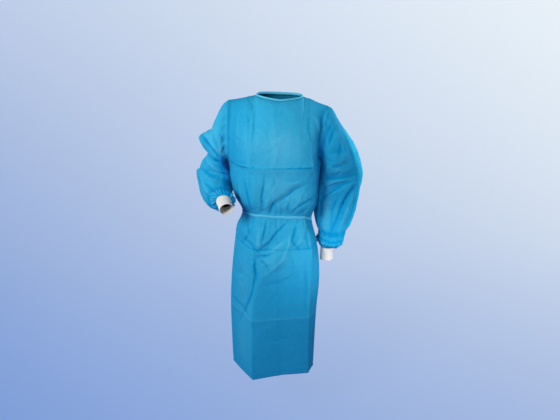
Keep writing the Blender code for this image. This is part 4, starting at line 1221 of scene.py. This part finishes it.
# %% Build the sheets
CUFF_THICKNESS, BINDING_THICKNESS, TIE_THICKNESS = 0.0012, 0.0003, 0.0004
pieces = {}
for node, name, part, edges in (
        ("front_panel", "front", front, (SIDE_RIGHT, SIDE_LEFT)),
        ("back_left_panel", "left_back", over, (SIDE_LEFT, BACK + LAP_REACH)),
        ("back_right_panel", "right_back", under, (BACK - LAP_REACH, ROUND))):
    highlight = painted_highlight(part.grid) if part is front else 0
    pieces[node] = sheet_object(name, part.grid, trough=shade_and_highlight_tone(part.height, part.line + highlight),
                                double=panel_layers_and_painted_light(part, edges))
for name, grid, height, line in (("sleeve_right", right_grid, right_height, right_line),
                                 ("sleeve_left", left_grid, left_height, left_line)):
    pieces[name] = sheet_object(name.replace("sleeve", "set_in_sleeve"), grid, closed=True,
                                trough=shade_and_highlight_tone(height, line + painted_highlight(grid)),
                                double=sleeve_layers_and_painted_light(grid, name == "sleeve_left"))
for side, grid in (("right", cuff_right_grid), ("left", cuff_left_grid)):
    pieces["cuff_" + side] = sheet_object(side + "_rib_cuff", grid, closed=True,
                                          thickness=CUFF_THICKNESS)
pieces["neck_binding"] = sheet_object("neckline_tape", binding, thickness=BINDING_THICKNESS)
pieces["waist_belt"] = sheet_object("belt_tape", belt, closed=True)
for name, grid in ties.items():
    pieces[name] = sheet_object(name.replace("tie_end", "tape_end"), grid, thickness=TIE_THICKNESS)
for place, grid in (("waist", waist_knot), ("neck", neck_knot)):   # solid, so they need no wall
    pieces[place + "_knot"] = sheet_object("tied_" + place + "_tape", grid, closed=True, ring=True,
                                           thickness=0)
print({name: len(piece.data.polygons) for name, piece in pieces.items()})

# %% [markdown]
# ## Materials
# Spunbond polypropylene is laid as a web of endless threads and pressed between hot rollers,
# which bond it at small points. To the eye it is matt and a little cloudy, because the threads
# never lie evenly. Where two layers lie, at seams and hems, it is a deeper, more saturated blue.
# The material also paints light and shade into the colour: a deeper blue as painted shade in
# troughs, creases, deep folds, at the sides, on the lower skirt and on the sleeves, a paler one as
# painted highlight on ridges and some listed places, and a painted glow on the empty side of a
# sleeve.
# Real see-through cloth would be slow to render and noisy, so one opaque surface mixes these blues
# by the two numbers that each point carries.

# %% Colours and nodes
def linear(text):
    """An sRGB hex colour as linear red, green, blue and alpha."""
    parts = [int(text[k:k + 2], 16) / 255 for k in (1, 3, 5)]
    return (*(p / 12.92 if p <= 0.04045 else ((p + 0.055) / 1.055)**2.4 for p in parts), 1.0)


def add_node(owner, kind, settings):
    """A node with its settings. An input takes a value, or another node's output."""
    node = owner.node_tree.nodes.new("ShaderNode" + kind)
    for name, value in settings.items():
        if isinstance(value, bpy.types.NodeSocket):
            owner.node_tree.links.new(value, node.inputs[name])
        elif isinstance(name, str) and hasattr(node, name):
            setattr(node, name, value)
        else:
            node.inputs[name].default_value = value
    return node


def new_material(name):
    """An empty material, and add_node for it."""
    material = bpy.data.materials.new(name)
    material.use_nodes = True
    material.node_tree.nodes.clear()
    return material, partial(add_node, material)


print("mid grey #808080 is", round(linear("#808080")[0], 3), "in linear light")

# %% Spunbond polypropylene
CLOUD = 0.014        # thick and thin patches of the web
FIBRE = 0.0016       # threads are 0.02 mm thick; bundles of them are drawn this wide to show
BOND = 0.0030        # bond points are 1.5 mm apart on the real cloth; drawn coarser to show
THIN_PATCH = "#D2DDE6"     # what the web's thin patches take off its colour
LIT_THROUGH = "#1CB2D6"    # an empty sleeve, lit from behind


def spunbond(name, sheet, pale, deep, deepest, cloudiness):
    """Matt, cloudy and faintly fibrous, with painted shade as a deeper blue in the troughs and
    painted highlight on the ridges.
    """
    material, node = new_material(name)
    at = node("TexCoord", {}).outputs["Object"]
    cut = node("UVMap", {"uv_map": "cut"}).outputs["UV"]
    trough, double = (node("Attribute", {"attribute_name": label}).outputs["Fac"]
                      for label in ("trough", "double"))
    colour = linear(sheet)
    # Painted light: a paler blue on ridges is painted highlight, and a deeper blue in creases and
    # the deepest blue in deep folds are painted shade. The second number gives the deeper blue of
    # two layers at hems and seams, painted shade elsewhere, and the painted glow of an empty
    # sleeve.
    for toward, value, none, full, most in (
            (pale, trough, 0.1, 1.0, 0.6),            # ridges
            (deep, double, 0.0, 1.0, 0.8),            # doubled cloth
            (LIT_THROUGH, double, 1.0, 2.0, 1.0),
            (deep, trough, 0.05, -0.8, 1.0),          # creases
            (deepest, trough, -1.25, -1.9, 1.0)):     # folds of many layers
        share = node("MapRange", {"Value": value, "From Min": none, "From Max": full,
                                  "To Max": most}).outputs[0]
        colour = node("Mix", {"data_type": "RGBA", 0: share, 6: colour,
                              7: linear(toward)}).outputs[2]
    cloud = node("TexNoise", {"Vector": at, "Scale": 1 / CLOUD, "Detail": 4.0,
                              "Roughness": 0.62}).outputs[0]
    patch = node("MapRange", {"Value": cloud, "From Min": 0.32, "From Max": 0.68, "To Min": 0.0,
                              "To Max": cloudiness}).outputs[0]
    clouded = node("Mix", {"data_type": "RGBA", "blend_type": "MULTIPLY", 0: patch, 6: colour,
                           7: linear(THIN_PATCH)}).outputs[2]
    fibre = node("TexNoise", {"Vector": at, "Scale": 1 / FIBRE, "Detail": 2.0,
                              "Distortion": 1.2}).outputs[0]
    turned = node("Mapping", {"Vector": cut, "Rotation": (0, 0, np.pi / 4)}).outputs[0]
    bond = node("TexVoronoi", {"Vector": turned, "Scale": 1 / BOND,
                               "Randomness": 0.0}).outputs["Distance"]
    dots = node("MapRange", {"Value": bond, "From Min": 0.15, "From Max": 0.4}).outputs[0]
    threads = node("Bump", {"Height": fibre, "Strength": 0.10, "Distance": 0.0002}).outputs[0]
    bump = node("Bump", {"Height": dots, "Strength": 0.12, "Distance": 0.0001,
                         "Normal": threads}).outputs[0]
    surface = node("BsdfPrincipled", {"Base Color": clouded, "Roughness": 0.78, "IOR": 1.49,
                                      "Specular IOR Level": 0.05, "Normal": bump}).outputs["BSDF"]
    node("OutputMaterial", {"Surface": surface})
    return material


# pale gives the painted highlight, deep the blue of two layers and of painted shade, and deepest
# the painted shade in deep folds.
blue = spunbond("spunbond_polypropylene_blue", "#31A4C8", "#5CB8D0", "#008CBC", "#2C86CE", 0.35)
tape = spunbond("spunbond_tape_pale_blue", "#58BAD6", "#78C8E0", "#3AA8D0", "#2A8FC4", 0.2)
print("materials:", blue.name, tape.name)

# %% [markdown]
# ## Rib knit
# The cuffs are a one-and-one rib of cotton and polyester. Each column of stitches is a row of
# small V shapes. It is soft, matt and warm white, with a little sheen from its loose fibres. The
# ribs are in the mesh, so a fine wave for the rows of stitches and some fuzz are enough here.

# %% Rib knit material
STITCH = 0.0016      # stitches are 1 mm high on the real cuff; drawn coarser to show
FUZZ = 1 / 900       # loose fibres stand out in tufts of about a millimetre


def rib_knit(name, yarn):
    """Soft and matt, with rows of stitches across the ribs."""
    material, node = new_material(name)
    at = node("TexCoord", {}).outputs["Object"]
    cut = node("UVMap", {"uv_map": "cut"}).outputs["UV"]
    stitch = node("TexWave", {"Vector": cut, "bands_direction": "Y", "Scale": 1 / STITCH / 3.14,
                              "Distortion": 1.5, "Detail": 1.0}).outputs[1]
    fuzz = node("TexNoise", {"Vector": at, "Scale": 1 / FUZZ, "Detail": 3.0}).outputs[0]
    height = node("Math", {"operation": "ADD", 0: stitch, 1: fuzz}).outputs[0]
    bump = node("Bump", {"Height": height, "Strength": 0.5, "Distance": 0.0004}).outputs[0]
    surface = node("BsdfPrincipled", {"Base Color": linear(yarn), "Roughness": 0.9, "IOR": 1.5,
                                      "Specular IOR Level": 0.25, "Sheen Weight": 0.25,
                                      "Normal": bump}).outputs["BSDF"]
    node("OutputMaterial", {"Surface": surface})
    return material


knit = rib_knit("cotton_polyester_rib_knit_white", "#D9D3CB")
print("material:", knit.name)

# %% [markdown]
# ## Dressing the pieces
# Only the cuffs are knit, the tapes are a paler non-woven, and the rest is the blue one. Each piece
# hides the solid that it stands for, rides on the body, and gets a slot for its material,
# so that the gown can be had in another colour. One loop over the names does it for every piece;
# setting each by hand would be longer and easier to get wrong.

# %% Dress every piece
for node, piece in pieces.items():
    knitted = "cuff" in node
    taped = any(word in node for word in ("binding", "belt", "tie", "knot"))
    piece.data.materials.append(knit if knitted else tape if taped else blue)
    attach(piece, "root")
    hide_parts(node)
print(len(pieces), "pieces dressed")

# %% [markdown]

# %% [markdown]
# ## Studio
# The gown hangs in front of a plain, pale blue studio cove: a paper that runs down a wall and
# curves out over the floor. One large soft lamp stands at the upper left and gives the folds their
# shape, and a weaker one fills from the right. A lamp behind each side draws the sleeves' edges,
# a small one lifts the white cuff, and an even world light keeps the shadows open. The camera sees
# the paper mostly in its own colour, because lighting it this evenly would need more lamps, and
# that
# colour holds painted light: it is painted paler to the right and upwards, deeper to the lower
# left.

# %% Cove
FLOOR, WALL_Y, CURVE = -1.50, 2.6, 1.2
HALF_WIDTH, WALL_TOP, FLOOR_FRONT = 6.0, 4.0, -6.0
turn = np.linspace(0, np.pi / 2, 25)
profile = [(FLOOR_FRONT, FLOOR), *zip(WALL_Y - CURVE + CURVE * np.sin(turn),
                                      FLOOR + CURVE * (1 - np.cos(turn))), (WALL_Y, WALL_TOP)]
cove = np.array([[(x, y, z) for x in (-HALF_WIDTH, HALF_WIDTH)] for y, z in profile])
backdrop = sheet_object("studio_cove", cove, thickness=0)
print("cove:", len(cove), "rows")

# %% Studio paper
SEEN = 0.92         # share of the paper's own colour that the camera sees without the lamps
# Painted light: the paper is painted paler to the right and upwards, and a deeper blue to the lower
# left.
PAINTED_LIGHT_SLOPE = (0.100, 0.144, 0.0)   # the paper grows paler to the right and upwards


def seen_rays(node):
    """1 for the rays that show a background: the camera's, and those of metal and glass."""
    rays = node("LightPath", {}).outputs
    seen = rays["Is Camera Ray"]
    for ray in ("Is Glossy Ray", "Is Transmission Ray"):
        seen = node("Math", {"operation": "MAXIMUM", 0: seen, 1: rays[ray]}).outputs[0]
    return seen


paper, node = new_material("painted_studio_paper_pale_blue")
cut = node("UVMap", {"uv_map": "cut"}).outputs["UV"]
slope = node("VectorMath", {"operation": "DOT_PRODUCT", 0: cut, 1: PAINTED_LIGHT_SLOPE}).outputs["Value"]
shade = node("MapRange", {"Value": slope, "From Min": 1.30, "From Max": 2.30}).outputs[0]
tint = node("Mix", {"data_type": "RGBA", 0: shade, 6: linear("#7C9DD9"),
                    7: linear("#F3FBFF")}).outputs[2]
share = node("Math", {"operation": "MULTIPLY", 0: seen_rays(node), 1: SEEN}).outputs[0]
painted = node("BsdfDiffuse", {"Color": tint, "Roughness": 0.9}).outputs[0]
shown = node("Emission", {"Color": tint, "Strength": 1.0}).outputs[0]
mixed = node("MixShader", {0: share, 1: painted, 2: shown}).outputs[0]
node("OutputMaterial", {"Surface": mixed})
backdrop.data.materials.append(paper)
print("paper:", paper.name)

# %% Lamps
def lamp(name, place, target, size, power, colour=(1.0, 1.0, 1.0), spread=180):
    """A round soft lamp in watts, turned to its target. spread: how wide its light opens."""
    light = bpy.data.lights.new(name, "AREA")
    light.shape, light.size, light.energy, light.color = "DISK", size, power, colour
    light.spread = np.radians(spread)
    holder = bpy.data.objects.new(name, light)
    holder.location = place
    holder.rotation_euler = (Vector(target) - Vector(place)).to_track_quat("-Z", "Y").to_euler()
    bpy.context.scene.collection.objects.link(holder)


lamp("key", (-1.15, -1.45, 0.55), (0, 0, -0.2), 0.7, 33, (1.0, 0.985, 0.96))
lamp("fill", (0.8, -1.8, -0.1), (0.1, 0, -0.3), 0.8, 5.9, (0.96, 0.98, 1.0))
lamp("rim_left", (-1.5, 0.6, 0.0), (-0.1, 0, -0.5), 1.0, 9)
lamp("rim_right", (1.5, 0.5, 0.1), (0.28, 0, 0.0), 0.8, 4, spread=65)
lamp("cuff_fill", (0.9, -1.3, -0.5), (0.2, -0.03, -0.64), 0.3, 0.26, spread=20)
print("lamps:", [light.name for light in bpy.data.lights])

# %% World
WORLD_LIGHT = 0.36
world = bpy.data.worlds.new("studio")
bpy.context.scene.world = world
world.use_nodes = True
world.node_tree.nodes.clear()
node = partial(add_node, world)
even = node("Background", {"Color": linear("#C6DAF8"), "Strength": WORLD_LIGHT}).outputs[0]
beyond = node("Background", {"Color": linear("#C4D3F0"), "Strength": 1.0}).outputs[0]
mixed = node("MixShader", {0: seen_rays(node), 1: even, 2: beyond}).outputs[0]
node("OutputWorld", {"Surface": mixed})   # beyond is what shows past the paper's edge
print("world light:", WORLD_LIGHT)

# %% [markdown]
# ## Camera
# A moderate lens, a little above the neck and tilted down, keeps the gown's proportions true. It
# is placed by numbers, so that the view can be made again, and the Standard view transform keeps
# colours as they are stated; a film-like one would make the cloth duller.

# %% Camera
lens = bpy.data.cameras.new("camera")
lens.lens, lens.sensor_width, lens.clip_start = 34.9, 36.0, 0.05
camera = bpy.data.objects.new("camera", lens)
camera.location = (0, -2.07, 0.37)
camera.rotation_euler = (np.radians(90 - 22), 0, 0)   # it looks down by 22 degrees
bpy.context.scene.collection.objects.link(camera)
bpy.context.scene.camera = camera
bpy.context.scene.view_settings.view_transform = "Standard"
print("camera:", lens.lens, "mm lens")
